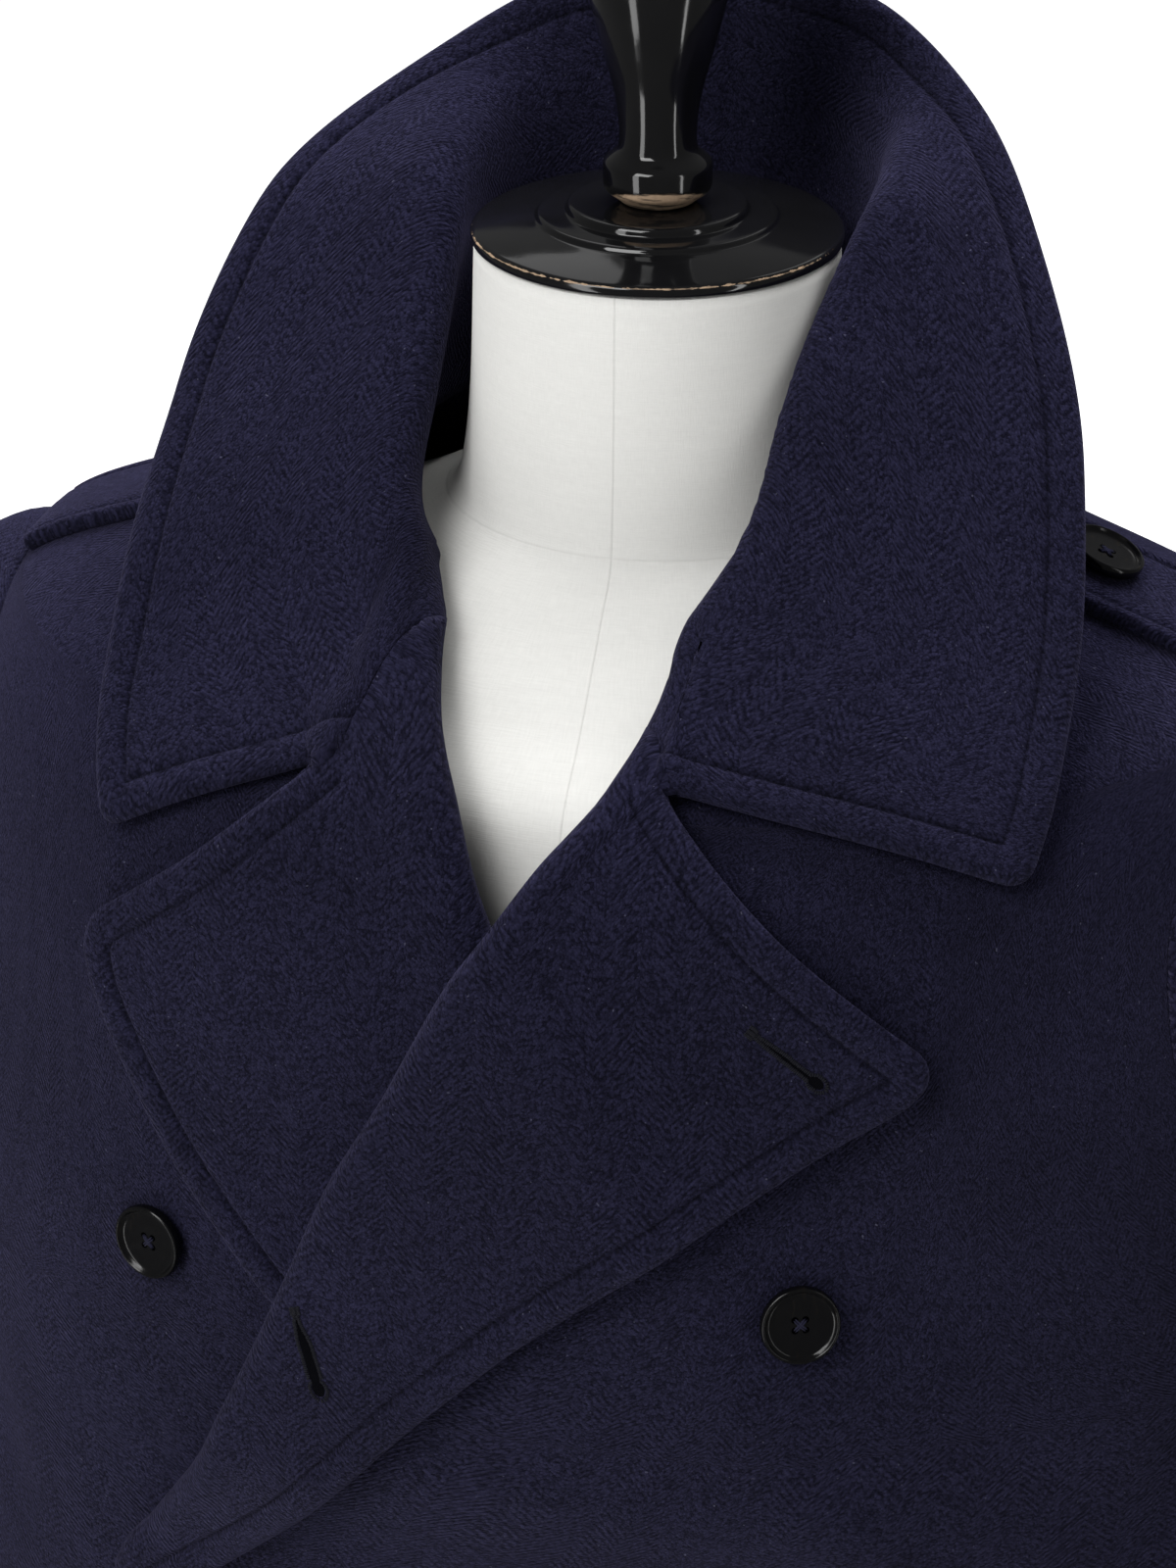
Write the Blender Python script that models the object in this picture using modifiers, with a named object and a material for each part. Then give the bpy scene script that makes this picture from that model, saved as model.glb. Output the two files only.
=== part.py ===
"""A double-breasted pea coat worn by a limbless dress form on a stand.

Metres, +Z up, the form's front towards -Y, the wearer's left towards +X.
The origin is the middle of the stand's base, on the floor.

The coat is laid out on one skin: rings from the hem to the neckline, read at any
angle round the body and at any level up it. Every cloth piece is an open sheet of
points on that skin, or lifted off it where it lies on another piece or rolls over,
and Solidify gives the sheet its thickness. Places on the fronts are given as the
distance out from the centre front, towards the piece's own side, and the height.
"""

import math
from collections import namedtuple
from functools import lru_cache

import bmesh
import bpy
from mathutils import Matrix, Vector

# ---------------------------------------------------------------- driving sizes
UP = Vector((0, 0, 1))
LEFT, RIGHT = 1, -1  # the wearer's own

CLOTH = 0.003  # one layer of heavy wool with its canvas
FOLDED_CLOTH = 0.005  # collar, lapel and strap: two layers turned and pressed
GAP = 0.0004  # between pieces where a seam joins them

ARMHOLE_BOTTOM = 2.75  # levels on the coat's skin
ARMHOLE_TOP = 6.0
ARMHOLE_FRONT = math.radians(36)  # widest reach of the armhole from the side
ARMHOLE_BACK = math.radians(31)
SLEEVE_COLUMNS = 24
FRONT_COLUMNS = [0, 0.04, 0.11, 0.19, 0.27, 0.35, 0.43, 0.51, 0.60, 0.70, 0.80, 0.90, 1]
BACK_COLUMNS = 8

OVERLAP_EDGE = -0.135  # front edge, past the centre, below the lapels
LEFT_BREAK = 2.20  # level where the lapel on top starts to turn out
BREAK_LEVELS = [2.35, 2.53]  # rows between the two lapels' first levels
LAPEL_ROLL = 0.0045  # radius of the fold along the roll line
LAPEL_SEAM = 3 * GAP  # between a front's edge and its lapel, where it rolls
LAPEL_LIE = {LEFT: 0.0036, RIGHT: 0.0018}  # clearance between a lapel and its front
LAPEL_FOLD_STEPS = 5  # round half a turn
LAPEL_TOP_LEVELS = 2.0  # over which the top edge bends down to the notch

# The left front rides over the right front's edge, then over the right lapel's roll.
EDGE_RISE_FROM = 0.045  # out from the edge underneath
EDGE_RISE_OVER = 0.035
ROLL_RISE_FROM = 0.095
ROLL_RISE_OVER = 0.080
ROLL_RISE_LEVEL = 2.30
ROLL_RISE_LEVELS = 0.35

BUTTON_WIDTH = 0.0254
BUTTON_THICK = 0.0046
BUTTON_RIM = 0.0034
BUTTON_DISH = 0.0012
BUTTON_EDGE = 0.0006  # rounding of the rim
BUTTON_SEGMENTS = 20
HOLE_RADIUS = 0.0011
HOLE_SPREAD = 0.0024  # from the button's middle
HOLES = 4
BUTTON_ROWS = (1.252, 1.092, 0.932)
BUTTON_OUT = {LEFT: 0.097, RIGHT: 0.117}  # the coat hangs a little to its right
BUTTON_RISE = {LEFT: 0.007, RIGHT: -0.007}

POCKET_TOP = (0.150, 1.050)
POCKET_BOTTOM = (0.172, 0.900)
POCKET_WIDTH = 0.032

STRAP_WIDTH = 0.05
STRAP_CENTRE = -0.003  # in front of the shoulder seam
STRAP_LEVELS = (6.04, 7.40)
STRAP_POINT = 0.28  # width left at the strap's inner end, as a part
STRAP_BUTTON_LEVEL = 7.03
STRAP_COLLAR_OUT = 0.105  # the strap's inner end, under the collar
STRAP_CLEARANCE = 0.012  # beside the strap, where the collar still rides over it

COLLAR_FOLD = 4  # place of the fold in a line across the collar
COLLAR_FALL_PARTS = (0.16, 0.33, 0.5, 0.67, 0.84, 1)
COLLAR_LINES = 13  # from the centre back to each end
COLLAR_END_ROWS = 1.4  # over which the collar's end bends down to the notch
COLLAR_FULL_STAND = 0.04  # a lower stand than this turns over more tightly
NOTCH_PARTING = 0.003  # the collar's end lies this much above the lapel's top

NECK_CAP_HEIGHT = 1.545
CAP_RISE = 0.0094  # of the cap's top step, which carries the finial
FORM_BOTTOM = 0.80
FORM_ROWS = 20
FORM_COLUMNS = 28
BASE_RADIUS = 0.215
BASE_THICK = 0.024
POLE_RADIUS = 0.014

Ring = namedtuple("Ring", "front_z side_z back_z half_width front back squareness")

# The cloth of the coat, from the hem to the neckline seam. Squareness 1 is an ellipse.
COAT = (
    Ring(0.760, 0.760, 0.760, 0.250, 0.164, 0.152, 0.88),
    Ring(0.900, 0.900, 0.900, 0.246, 0.163, 0.148, 0.87),
    Ring(1.080, 1.080, 1.080, 0.233, 0.158, 0.128, 0.86),
    Ring(1.245, 1.245, 1.245, 0.237, 0.167, 0.127, 0.84),
    Ring(1.322, 1.328, 1.326, 0.236, 0.166, 0.129, 0.84),
    Ring(1.375, 1.390, 1.384, 0.227, 0.157, 0.122, 0.85),
    Ring(1.403, 1.418, 1.421, 0.209, 0.139, 0.106, 0.90),
    Ring(1.420, 1.445, 1.450, 0.147, 0.113, 0.088, 0.97),
    Ring(1.436, 1.474, 1.481, 0.080, 0.083, 0.074, 1.00),
)
NECKLINE = len(COAT) - 1

# The dress form, from the foot of the torso to the top of its neck.
FORM = (
    Ring(FORM_BOTTOM, FORM_BOTTOM, FORM_BOTTOM, 0.155, 0.104, 0.112, 1.0),
    Ring(0.900, 0.900, 0.900, 0.184, 0.120, 0.130, 0.97),
    Ring(1.060, 1.060, 1.060, 0.158, 0.114, 0.100, 0.97),
    Ring(1.240, 1.240, 1.240, 0.190, 0.142, 0.108, 0.95),
    Ring(1.325, 1.328, 1.326, 0.194, 0.142, 0.112, 0.94),
    Ring(1.390, 1.398, 1.398, 0.180, 0.130, 0.098, 0.95),
    Ring(1.416, 1.430, 1.436, 0.130, 0.102, 0.080, 0.98),
    Ring(1.440, 1.449, 1.455, 0.086, 0.077, 0.068, 1.0),
    Ring(1.457, 1.462, 1.466, 0.0640, 0.0620, 0.0625, 1.0),
    Ring(1.496, 1.498, 1.500, 0.0592, 0.0592, 0.0590, 1.0),
    Ring(1.5415, 1.5415, 1.5415, 0.0580, 0.0580, 0.0580, 1.0),
)

# Roll line: how far out the cloth turns, at each level of the skin, on each side.
RollPoint = namedtuple("RollPoint", "level left right")
ROLL_LINE = (
    RollPoint(2.20, -0.132, OVERLAP_EDGE),
    RollPoint(2.35, -0.106, -0.125),
    RollPoint(2.60, -0.081, -0.088),
    RollPoint(3.00, -0.055, -0.058),
    RollPoint(3.50, -0.037, -0.036),
    RollPoint(4.00, -0.019, -0.018),
    RollPoint(4.50, -0.003, -0.001),
    RollPoint(5.00, 0.012, 0.012),
    RollPoint(6.00, 0.034, 0.028),
    RollPoint(7.00, 0.041, 0.043),
    RollPoint(8.00, 0.045, 0.053),
)

# Lapels: the roll line's level, and the place of the outer edge straight across from it.
LapelRow = namedtuple("LapelRow", "level edge_out edge_z")
LAPEL_ROWS = {
    LEFT: (
        LapelRow(2.20, -0.119, 1.109),
        LapelRow(2.35, -0.092, 1.134),
        LapelRow(2.60, -0.058, 1.168),
        LapelRow(3.00, -0.012, 1.221),
        LapelRow(3.50, 0.037, 1.266),
        LapelRow(4.00, 0.076, 1.296),
        LapelRow(4.50, 0.106, 1.317),
        LapelRow(5.20, 0.127, 1.331),
        LapelRow(6.70, 0.136, 1.342),
    ),
    RIGHT: (
        LapelRow(2.75, -0.060, 1.196),
        LapelRow(3.00, -0.015, 1.203),
        LapelRow(3.30, 0.030, 1.214),
        LapelRow(3.70, 0.067, 1.234),
        LapelRow(4.10, 0.090, 1.259),
        LapelRow(4.50, 0.110, 1.286),
        LapelRow(5.00, 0.125, 1.312),
        LapelRow(5.80, 0.135, 1.333),
        LapelRow(7.50, 0.139, 1.350),
    ),
}

# Collar, from the centre back to the lapel: its seam, its fold, then its free edge.
# The seam runs round the neckline, then down the front's inner edge.
CollarRow = namedtuple(
    "CollarRow", "seam_angle seam_level fold_out fold_y fold_z edge_out edge_y edge_z"
)
COLLAR_ROWS = {
    LEFT: (
        CollarRow(180, 8, 0.000, 0.082, 1.560, 0.000, 0.094, 1.607),
        CollarRow(155, 8, 0.034, 0.074, 1.560, 0.044, 0.082, 1.602),
        CollarRow(125, 8, 0.064, 0.044, 1.561, 0.090, 0.056, 1.577),
        CollarRow(95, 8, 0.068, 0.010, 1.556, 0.120, 0.020, 1.543),
        CollarRow(70, 8, 0.061, -0.024, 1.524, 0.147, -0.030, 1.497),
        CollarRow(50, 8, 0.056, -0.060, 1.480, 0.159, -0.078, 1.447),
        CollarRow(34.3, 8, 0.046, -0.094, 1.450, 0.161, -0.110, 1.418),
        CollarRow(25, 6.82, 0.0402, -0.1201, 1.4275, 0.158, -0.131, 1.395),
    ),
    RIGHT: (
        CollarRow(180, 8, 0.000, 0.082, 1.560, 0.000, 0.094, 1.607),
        CollarRow(155, 8, 0.034, 0.074, 1.560, 0.050, 0.080, 1.601),
        CollarRow(125, 8, 0.066, 0.044, 1.560, 0.100, 0.056, 1.573),
        CollarRow(95, 8, 0.071, 0.010, 1.552, 0.138, 0.014, 1.537),
        CollarRow(70, 8, 0.069, -0.024, 1.520, 0.151, -0.030, 1.488),
        CollarRow(52, 8, 0.0695, -0.056, 1.484, 0.150, -0.078, 1.452),
        CollarRow(41.5, 8, 0.061, -0.076, 1.463, 0.147, -0.112, 1.416),
        CollarRow(30, 7.62, 0.0490, -0.0900, 1.4440, 0.135, -0.144, 1.380),
    ),
}
# Where the collar's end and the lapel's top edge part.
NOTCH = {LEFT: (0.046, 1.407), RIGHT: (0.0635, 1.405)}

# Sleeves below the armhole: the side next to the body, the outer side, the depth.
SleeveRow = namedtuple("SleeveRow", "inner_out inner_z outer_out outer_z middle_y half_depth")
SLEEVE_ROWS = (
    SleeveRow(0.2402, 1.207, 0.231, 1.4135, 0.000, 0.087),
    SleeveRow(0.2416, 1.196, 0.252, 1.399, 0.001, 0.091),
    SleeveRow(0.2425, 1.184, 0.272, 1.368, 0.002, 0.093),
    SleeveRow(0.2435, 1.168, 0.287, 1.325, 0.003, 0.092),
    SleeveRow(0.2445, 1.146, 0.297, 1.262, 0.004, 0.089),
    SleeveRow(0.2455, 1.112, 0.303, 1.190, 0.005, 0.086),
    SleeveRow(0.2475, 1.066, 0.308, 1.114, 0.005, 0.082),
    SleeveRow(0.2505, 1.010, 0.312, 1.036, 0.002, 0.078),
    SleeveRow(0.2550, 0.945, 0.316, 0.958, -0.004, 0.073),
    SleeveRow(0.2600, 0.880, 0.319, 0.886, -0.012, 0.068),
    SleeveRow(0.2640, 0.820, 0.321, 0.820, -0.019, 0.065),
)


# ---------------------------------------------------------------- the skin
def curve_through(places, values, place):
    """A smooth curve through the values that never overshoots between them."""
    last = len(places) - 1
    place = min(max(place, places[0]), places[last])
    k = 0
    while k < last - 1 and place > places[k + 1]:
        k += 1
    slopes = [(values[i + 1] - values[i]) / (places[i + 1] - places[i]) for i in range(last)]

    def tangent(i):
        if i == 0 or i == last:
            return slopes[min(i, last - 1)]
        before, after = slopes[i - 1], slopes[i]
        if before * after <= 0:
            return 0.0
        return 2 * before * after / (before + after)

    step = places[k + 1] - places[k]
    t = (place - places[k]) / step
    return (
        (2 * t**3 - 3 * t**2 + 1) * values[k]
        + (t**3 - 2 * t**2 + t) * step * tangent(k)
        + (3 * t**2 - 2 * t**3) * values[k + 1]
        + (t**3 - t**2) * step * tangent(k + 1)
    )


def table_at(rows, place, places=None):
    """One row read between the rows of a table."""
    places = places or range(len(rows))
    columns = zip(*rows)
    return type(rows[0])(*(curve_through(places, column, place) for column in columns))


@lru_cache(maxsize=None)
def ring_at(rings, level):
    return table_at(rings, level)


def signed_power(value, power):
    return math.copysign(abs(value) ** power, value)


def skin(rings, angle, level):
    """Angle 0 is the centre front and a quarter turn is the wearer's left side."""
    ring = ring_at(rings, level)
    s, c = math.sin(angle), math.cos(angle)
    depth = ring.front if c > 0 else ring.back
    middle_z = ring.front_z if c > 0 else ring.back_z
    return Vector((
        ring.half_width * signed_power(s, ring.squareness),
        -depth * signed_power(c, ring.squareness),
        ring.side_z + (middle_z - ring.side_z) * c * c,
    ))


def skin_normal(angle, level):
    step = 0.02
    low, high = max(level - step, 0), min(level + step, NECKLINE)
    round_body = skin(COAT, angle + step, level) - skin(COAT, angle - step, level)
    up_body = skin(COAT, angle, high) - skin(COAT, angle, low)
    return round_body.cross(up_body).normalized()


def on_coat(angle, level, height=0.0):
    return skin(COAT, angle, level) + skin_normal(angle, level) * height


def angle_at_out(out, level):
    """The angle where the skin is this far out from the centre front."""
    ring = ring_at(COAT, level)
    s = min(abs(out) / ring.half_width, 1) ** (1 / ring.squareness)
    return math.copysign(math.asin(s), out)


def angle_at_y(y, level):
    """The angle on the wearer's left where the skin is this far behind the middle."""
    ring = ring_at(COAT, level)
    depth = ring.front if y < 0 else ring.back
    c = min(abs(y) / depth, 1) ** (1 / ring.squareness)
    return math.acos(math.copysign(c, -y))


def level_at(out, z):
    """The level where the skin's front, this far out, is this high."""
    low, high = 0.0, float(NECKLINE)
    for _ in range(22):
        middle = (low + high) / 2
        if skin(COAT, angle_at_out(out, middle), middle).z < z:
            low = middle
        else:
            high = middle
    return round((low + high) / 2, 5)


def ease(t):
    t = min(max(t, 0), 1)
    return t * t * (3 - 2 * t)


def blend(a, b, t):
    return a + (b - a) * t


def roll_out(side, level):
    """The roll line, and below it the front edge, out from the centre front."""
    levels = [row.level for row in ROLL_LINE]
    outs = [row.left if side == LEFT else row.right for row in ROLL_LINE]
    if level < levels[0]:
        return OVERLAP_EDGE
    return curve_through(levels, outs, level)


def front_height(side, out, level):
    """How far a front lies off the skin: the left one passes over all of the right."""
    if side == RIGHT:
        return 0.0
    right_edge_out = -roll_out(RIGHT, level)
    past_edge = right_edge_out - out
    over_front = (CLOTH + 4 * GAP) * ease((past_edge + EDGE_RISE_FROM) / EDGE_RISE_OVER)
    over_lapel = (LAPEL_ROLL * 2 + FOLDED_CLOTH + GAP) * ease(
        (past_edge + ROLL_RISE_FROM) / ROLL_RISE_OVER
    )
    return over_front + over_lapel * ease((level - ROLL_RISE_LEVEL) / ROLL_RISE_LEVELS)


def on_front(side, out, z, height=0.0):
    """A point over the front of this side, at a place and a height off that front."""
    level = level_at(out, z)
    lift = front_height(side, out, level) + height
    return own_side(side, on_coat(angle_at_out(out, level), level, lift))


def front_normal(side, out, z):
    """Square to the front as it lies, with what is under it."""
    step = 0.012
    outwards = on_front(side, out + step, z) - on_front(side, out - step, z)
    upwards = on_front(side, out, z + step) - on_front(side, out, z - step)
    return (outwards.cross(upwards) * side).normalized()


def own_side(side, point):
    return Vector((point.x * side, point.y, point.z))


def nearest_on_coat(point):
    """Angle and level of the skin nearest to a point on the wearer's left."""
    best = min(
        (
            ((skin(COAT, math.radians(10 * i), j / 2) - point).length_squared, i, j)
            for i in range(19)
            for j in range(6, 2 * NECKLINE + 1)
        ),
    )
    angle, level = math.radians(10 * best[1]), best[2] / 2
    step_angle, step_level = math.radians(5), 0.25
    for _ in range(9):
        tries = [
            (angle + step_angle * i, min(level + step_level * j, float(NECKLINE)))
            for i in (-1, 0, 1)
            for j in (-1, 0, 1)
        ]
        angle, level = min(tries, key=lambda t: (skin(COAT, *t) - point).length_squared)
        step_angle, step_level = step_angle / 2, step_level / 2
    return angle, level


def kept_off_coat(point, least):
    """The point, moved out where it would lie less than this far off the skin."""
    angle, level = nearest_on_coat(point)
    normal = skin_normal(angle, level)
    short = least - (point - skin(COAT, angle, level)).dot(normal)
    if short <= 0 or level > NECKLINE - 0.05:
        return point
    return point + normal * short


# ---------------------------------------------------------------- making objects
def finish(name, colour, roughness, metallic=0.0):
    """One plain material for each part."""
    material = bpy.data.materials.new(name)
    material.use_nodes = True
    shader = material.node_tree.nodes["Principled BSDF"]
    shader.inputs["Base Color"].default_value = (*colour, 1)
    shader.inputs["Roughness"].default_value = roughness
    shader.inputs["Metallic"].default_value = metallic
    return material


def add_object(name, mesh, material, collection):
    mesh.materials.append(material)
    piece = bpy.data.objects.new(name, mesh)
    collection.objects.link(piece)
    return piece


def sheet(name, grid, thickness, material, collection, closed=False):
    """A grid of points, row by row, given a thickness about its middle."""
    mesh = bpy.data.meshes.new(name)
    bm = bmesh.new()
    rows = [[bm.verts.new(point) for point in row] for row in grid]
    columns = len(rows[0])
    for low, high in zip(rows, rows[1:]):
        for j in range(columns if closed else columns - 1):
            k = (j + 1) % columns
            bm.faces.new((low[j], low[k], high[k], high[j]))
    bm.to_mesh(mesh)
    bm.free()
    mesh.shade_smooth()
    piece = add_object(name, mesh, material, collection)
    wall = piece.modifiers.new("cloth", "SOLIDIFY")
    wall.thickness = thickness
    wall.offset = 0
    wall.use_even_offset = True
    return piece


def turned(name, profile, segments, material, collection, place=(0, 0, 0)):
    """A turned shape: the profile runs from the axis at the top to the axis below."""
    mesh = bpy.data.meshes.new(name)
    bm = bmesh.new()
    points = [bm.verts.new((radius, 0, z)) for radius, z in profile]
    for a, b in zip(points, points[1:]):
        bm.edges.new((a, b))
    bm.to_mesh(mesh)
    bm.free()
    piece = add_object(name, mesh, material, collection)
    piece.location = place
    screw = piece.modifiers.new("turn", "SCREW")
    screw.steps = segments
    screw.render_steps = segments
    screw.use_merge_vertices = True
    screw.merge_threshold = 0.00001
    screw.use_smooth_shade = True
    return piece


def side_name(name, side):
    return f"{name}_{'left' if side == LEFT else 'right'}"


def spaced(first, last, count):
    return [blend(first, last, i / count) for i in range(count + 1)]


# ---------------------------------------------------------------- fronts and backs
def armhole_reach(level, widest):
    middle = (ARMHOLE_BOTTOM + ARMHOLE_TOP) / 2
    half = (ARMHOLE_TOP - ARMHOLE_BOTTOM) / 2
    off = (level - middle) / half
    return widest * math.sqrt(1 - off * off) if abs(off) < 1 else 0.0


def body_levels():
    """Levels of the panels' rows, closer where the armhole turns."""
    half = (ARMHOLE_TOP - ARMHOLE_BOTTOM) / 2
    armhole = [
        ARMHOLE_BOTTOM + half * (1 - math.cos(math.pi * i / 10)) for i in range(1, 10)
    ]
    below = spaced(0, LEFT_BREAK, 6) + BREAK_LEVELS + [ARMHOLE_BOTTOM]
    return below + armhole + spaced(ARMHOLE_TOP, NECKLINE, 5)


def make_front(side, material, collection):
    """From the front edge and roll line out to the side, the armhole and the shoulder."""
    grid = []
    for level in body_levels():
        inner = angle_at_out(roll_out(side, level), level)
        seam = math.pi / 2 - armhole_reach(level, ARMHOLE_FRONT)
        seam -= GAP / ring_at(COAT, level).front
        row = []
        for part in FRONT_COLUMNS:
            angle = blend(inner, seam, part)
            out = skin(COAT, angle, level).x
            point = on_coat(angle, level, front_height(side, out, level))
            row.append(own_side(side, point))
        grid.append(row)
    return sheet(side_name("front", side), ordered(grid, side), CLOTH, material, collection)


def make_back(side, material, collection):
    """From the side seam, the armhole and the shoulder to the centre-back seam."""
    grid = []
    for level in body_levels():
        ring = ring_at(COAT, level)
        seam = math.pi / 2 + armhole_reach(level, ARMHOLE_BACK) + GAP / ring.back
        centre = math.pi - angle_at_out(GAP, level)
        angles = spaced(seam, centre, BACK_COLUMNS)
        grid.append([own_side(side, on_coat(angle, level)) for angle in angles])
    return sheet(side_name("back", side), ordered(grid, side), CLOTH, material, collection)


def ordered(grid, side):
    """Mirrored grids run the other way, so that faces keep pointing out."""
    return grid if side == LEFT else [row[::-1] for row in grid]


# ---------------------------------------------------------------- sleeves
def armhole_point(turn):
    """Round the armhole: from the front, up over the shoulder, to the back and under."""
    middle = (ARMHOLE_BOTTOM + ARMHOLE_TOP) / 2
    half = (ARMHOLE_TOP - ARMHOLE_BOTTOM) / 2
    level = middle + half * math.sin(turn)
    widest = ARMHOLE_FRONT if math.cos(turn) > 0 else ARMHOLE_BACK
    angle = math.pi / 2 - widest * math.cos(turn)
    return on_coat(angle, level, CLOTH + GAP)


def make_sleeve(side, material, collection):
    turns = [2 * math.pi * i / SLEEVE_COLUMNS for i in range(SLEEVE_COLUMNS)]
    grid = [[own_side(side, armhole_point(turn)) for turn in turns]]
    for row in SLEEVE_ROWS:
        inner = Vector((row.inner_out, row.middle_y, row.inner_z))
        outer = Vector((row.outer_out, row.middle_y, row.outer_z))
        ring = []
        for turn in turns:
            along = (1 + signed_power(math.sin(turn), 0.92)) / 2
            point = blend(inner, outer, along)
            point.y -= row.half_depth * signed_power(math.cos(turn), 0.96)
            ring.append(own_side(side, point))
        grid.append(ring)
    grid.reverse()
    return sheet(side_name("sleeve", side), ordered(grid, side), CLOTH, material, collection, closed=True)


# ---------------------------------------------------------------- lapels and collar
def tent(part, peak):
    return part / peak if part < peak else (1 - part) / (1 - peak)


def on_roll_line(side, level):
    out = roll_out(side, level)
    lift = front_height(side, out, level)
    return own_side(side, on_coat(angle_at_out(out, level), level, lift))


def make_lapel(side, material, collection):
    """Turned out along the roll line, over the front, to its own outer edge."""
    rows = LAPEL_ROWS[side]
    bottom, highest = rows[0].level, rows[-1].level
    levels = [level for level in body_levels() if bottom <= level < highest] + [highest]
    notch = Vector(NOTCH[side])
    top_out = roll_out(side, rows[-1].level)
    notch_part = (notch.x - top_out) / (rows[-1].edge_out - top_out)
    parts = [notch_part / 2] + spaced(notch_part, 1, 6)
    grid = []
    for level in levels:
        row = table_at(rows, level, [row.level for row in rows])
        out = roll_out(side, level)
        start = on_roll_line(side, level)
        along = (on_roll_line(side, level + 0.05) - start).normalized()
        roll_place = Vector((out, start.z))
        edge_place = Vector((row.edge_out, row.edge_z))
        first = blend(roll_place, edge_place, parts[0])
        away = on_front(side, *first) - start
        away = (away - along * away.dot(along)).normalized()
        normal = away.cross(along) * side
        line = []
        for turn in spaced(0, math.pi, LAPEL_FOLD_STEPS)[:-1]:
            back = away * (-LAPEL_SEAM - LAPEL_ROLL * math.sin(turn))
            line.append(start + back + normal * (LAPEL_ROLL * (1 - math.cos(turn))))
        dip = notch - blend(roll_place, edge_place, notch_part)
        top = ease((level - highest) / LAPEL_TOP_LEVELS + 1)
        rest = CLOTH / 2 + FOLDED_CLOTH / 2 + LAPEL_LIE[side]
        for part in parts:
            at = blend(roll_place, edge_place, part) + dip * tent(part, notch_part) * top
            height = blend(2 * LAPEL_ROLL, rest, ease(part * 1.15))
            line.append(on_front(side, at.x, at.y, height))
        grid.append(line)
    return sheet(side_name("lapel", side), ordered(grid, side), FOLDED_CLOTH, material, collection)


def collar_line(side, place):
    """One line of the collar, from its seam up the stand, over the fold, to the edge."""
    row = table_at(COLLAR_ROWS[side], place)
    level = row.seam_level
    angle = math.radians(row.seam_angle)
    if level < NECKLINE:
        angle = angle_at_out(roll_out(side, level), level)
    rise = UP.lerp(skin_normal(angle, level), ease((NECKLINE - level) * 2))
    lift = CLOTH / 2 + GAP * blend(4, 5, ease((NECKLINE - level) * 2))
    seam = skin(COAT, angle, level) + rise * lift
    fold = Vector((row.fold_out, row.fold_y, row.fold_z))
    edge = Vector((row.edge_out, row.edge_y, row.edge_z))
    over = (edge - seam) * 0.5 * min((fold - seam).length / COLLAR_FULL_STAND, 1)
    stand = [
        hermite(seam, (fold - seam) * 1.1, fold, over, part)
        for part in spaced(0, 1, COLLAR_FOLD)
    ]
    last = (edge - fold) * 0.9
    return stand + [hermite(fold, over, edge, last, part) for part in COLLAR_FALL_PARTS]


def hermite(a, a_way, b, b_way, t):
    return (
        a * (2 * t**3 - 3 * t**2 + 1)
        + a_way * (t**3 - 2 * t**2 + t)
        + b * (3 * t**2 - 2 * t**3)
        + b_way * (t**3 - t**2)
    )


def least_off_coat(point):
    """The collar lies over the fronts, and over the strap where there is one."""
    least = CLOTH / 2 + FOLDED_CLOTH / 2 + 3 * GAP
    over_strap = abs(point.y - STRAP_CENTRE) < STRAP_WIDTH / 2 + STRAP_CLEARANCE
    if over_strap and point.x > STRAP_COLLAR_OUT:
        least += FOLDED_CLOTH + GAP
    return least


def dipped_to_notch(side, line, much):
    """The collar's end drops to the notch between its fold and its point."""
    notch = own_side(side, on_front(side, *NOTCH[side], 2 * LAPEL_ROLL))
    notch += UP * NOTCH_PARTING
    fall = line[COLLAR_FOLD:]
    outs = [point.x for point in fall]
    peak = (notch.x - outs[0]) / (outs[-1] - outs[0])
    there = Vector(curve_through(outs, column, notch.x) for column in zip(*fall))
    for point in fall:
        part = (point.x - outs[0]) / (outs[-1] - outs[0])
        point += (notch - there) * tent(min(max(part, 0), 1), peak) * much
    return line[:COLLAR_FOLD] + fall


def make_collar(material, collection):
    """One piece round the neck: standing behind, turned down at the sides and front."""
    halves = {}
    for side in (LEFT, RIGHT):
        halves[side] = []
        last = len(COLLAR_ROWS[side]) - 1
        for place in spaced(0, last, COLLAR_LINES):
            line = collar_line(side, place)
            much = ease((place - last) / COLLAR_END_ROWS + 1)
            if much > 0:
                line = dipped_to_notch(side, line, much)
            line[3:] = [kept_off_coat(point, least_off_coat(point)) for point in line[3:]]
            halves[side].append([own_side(side, point) for point in line])
    grid = halves[LEFT][:0:-1] + halves[RIGHT]
    return sheet("collar", grid, FOLDED_CLOTH, material, collection)


# ---------------------------------------------------------------- straps and pockets
def strap_point(side, level, across, height):
    y = STRAP_CENTRE + across * STRAP_WIDTH / 2
    return own_side(side, on_coat(angle_at_y(y, level), level, height))


def make_strap(side, material, collection):
    """Shoulder strap, from the sleeve seam to a rounded point under the collar."""
    height = CLOTH / 2 + FOLDED_CLOTH / 2 + GAP
    grid = []
    for part in (0, 0.08, 0.25, 0.42, 0.6, 0.76, 0.88, 0.96, 1):
        narrow = blend(1, STRAP_POINT, ease((part - 0.8) / 0.2) ** 1.5)
        level = blend(*STRAP_LEVELS, part)
        grid.append([strap_point(side, level, s * narrow, height) for s in (-1, -0.55, 0, 0.55, 1)])
    return sheet(side_name("epaulette", side), ordered(grid, -side), FOLDED_CLOTH, material, collection)


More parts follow.
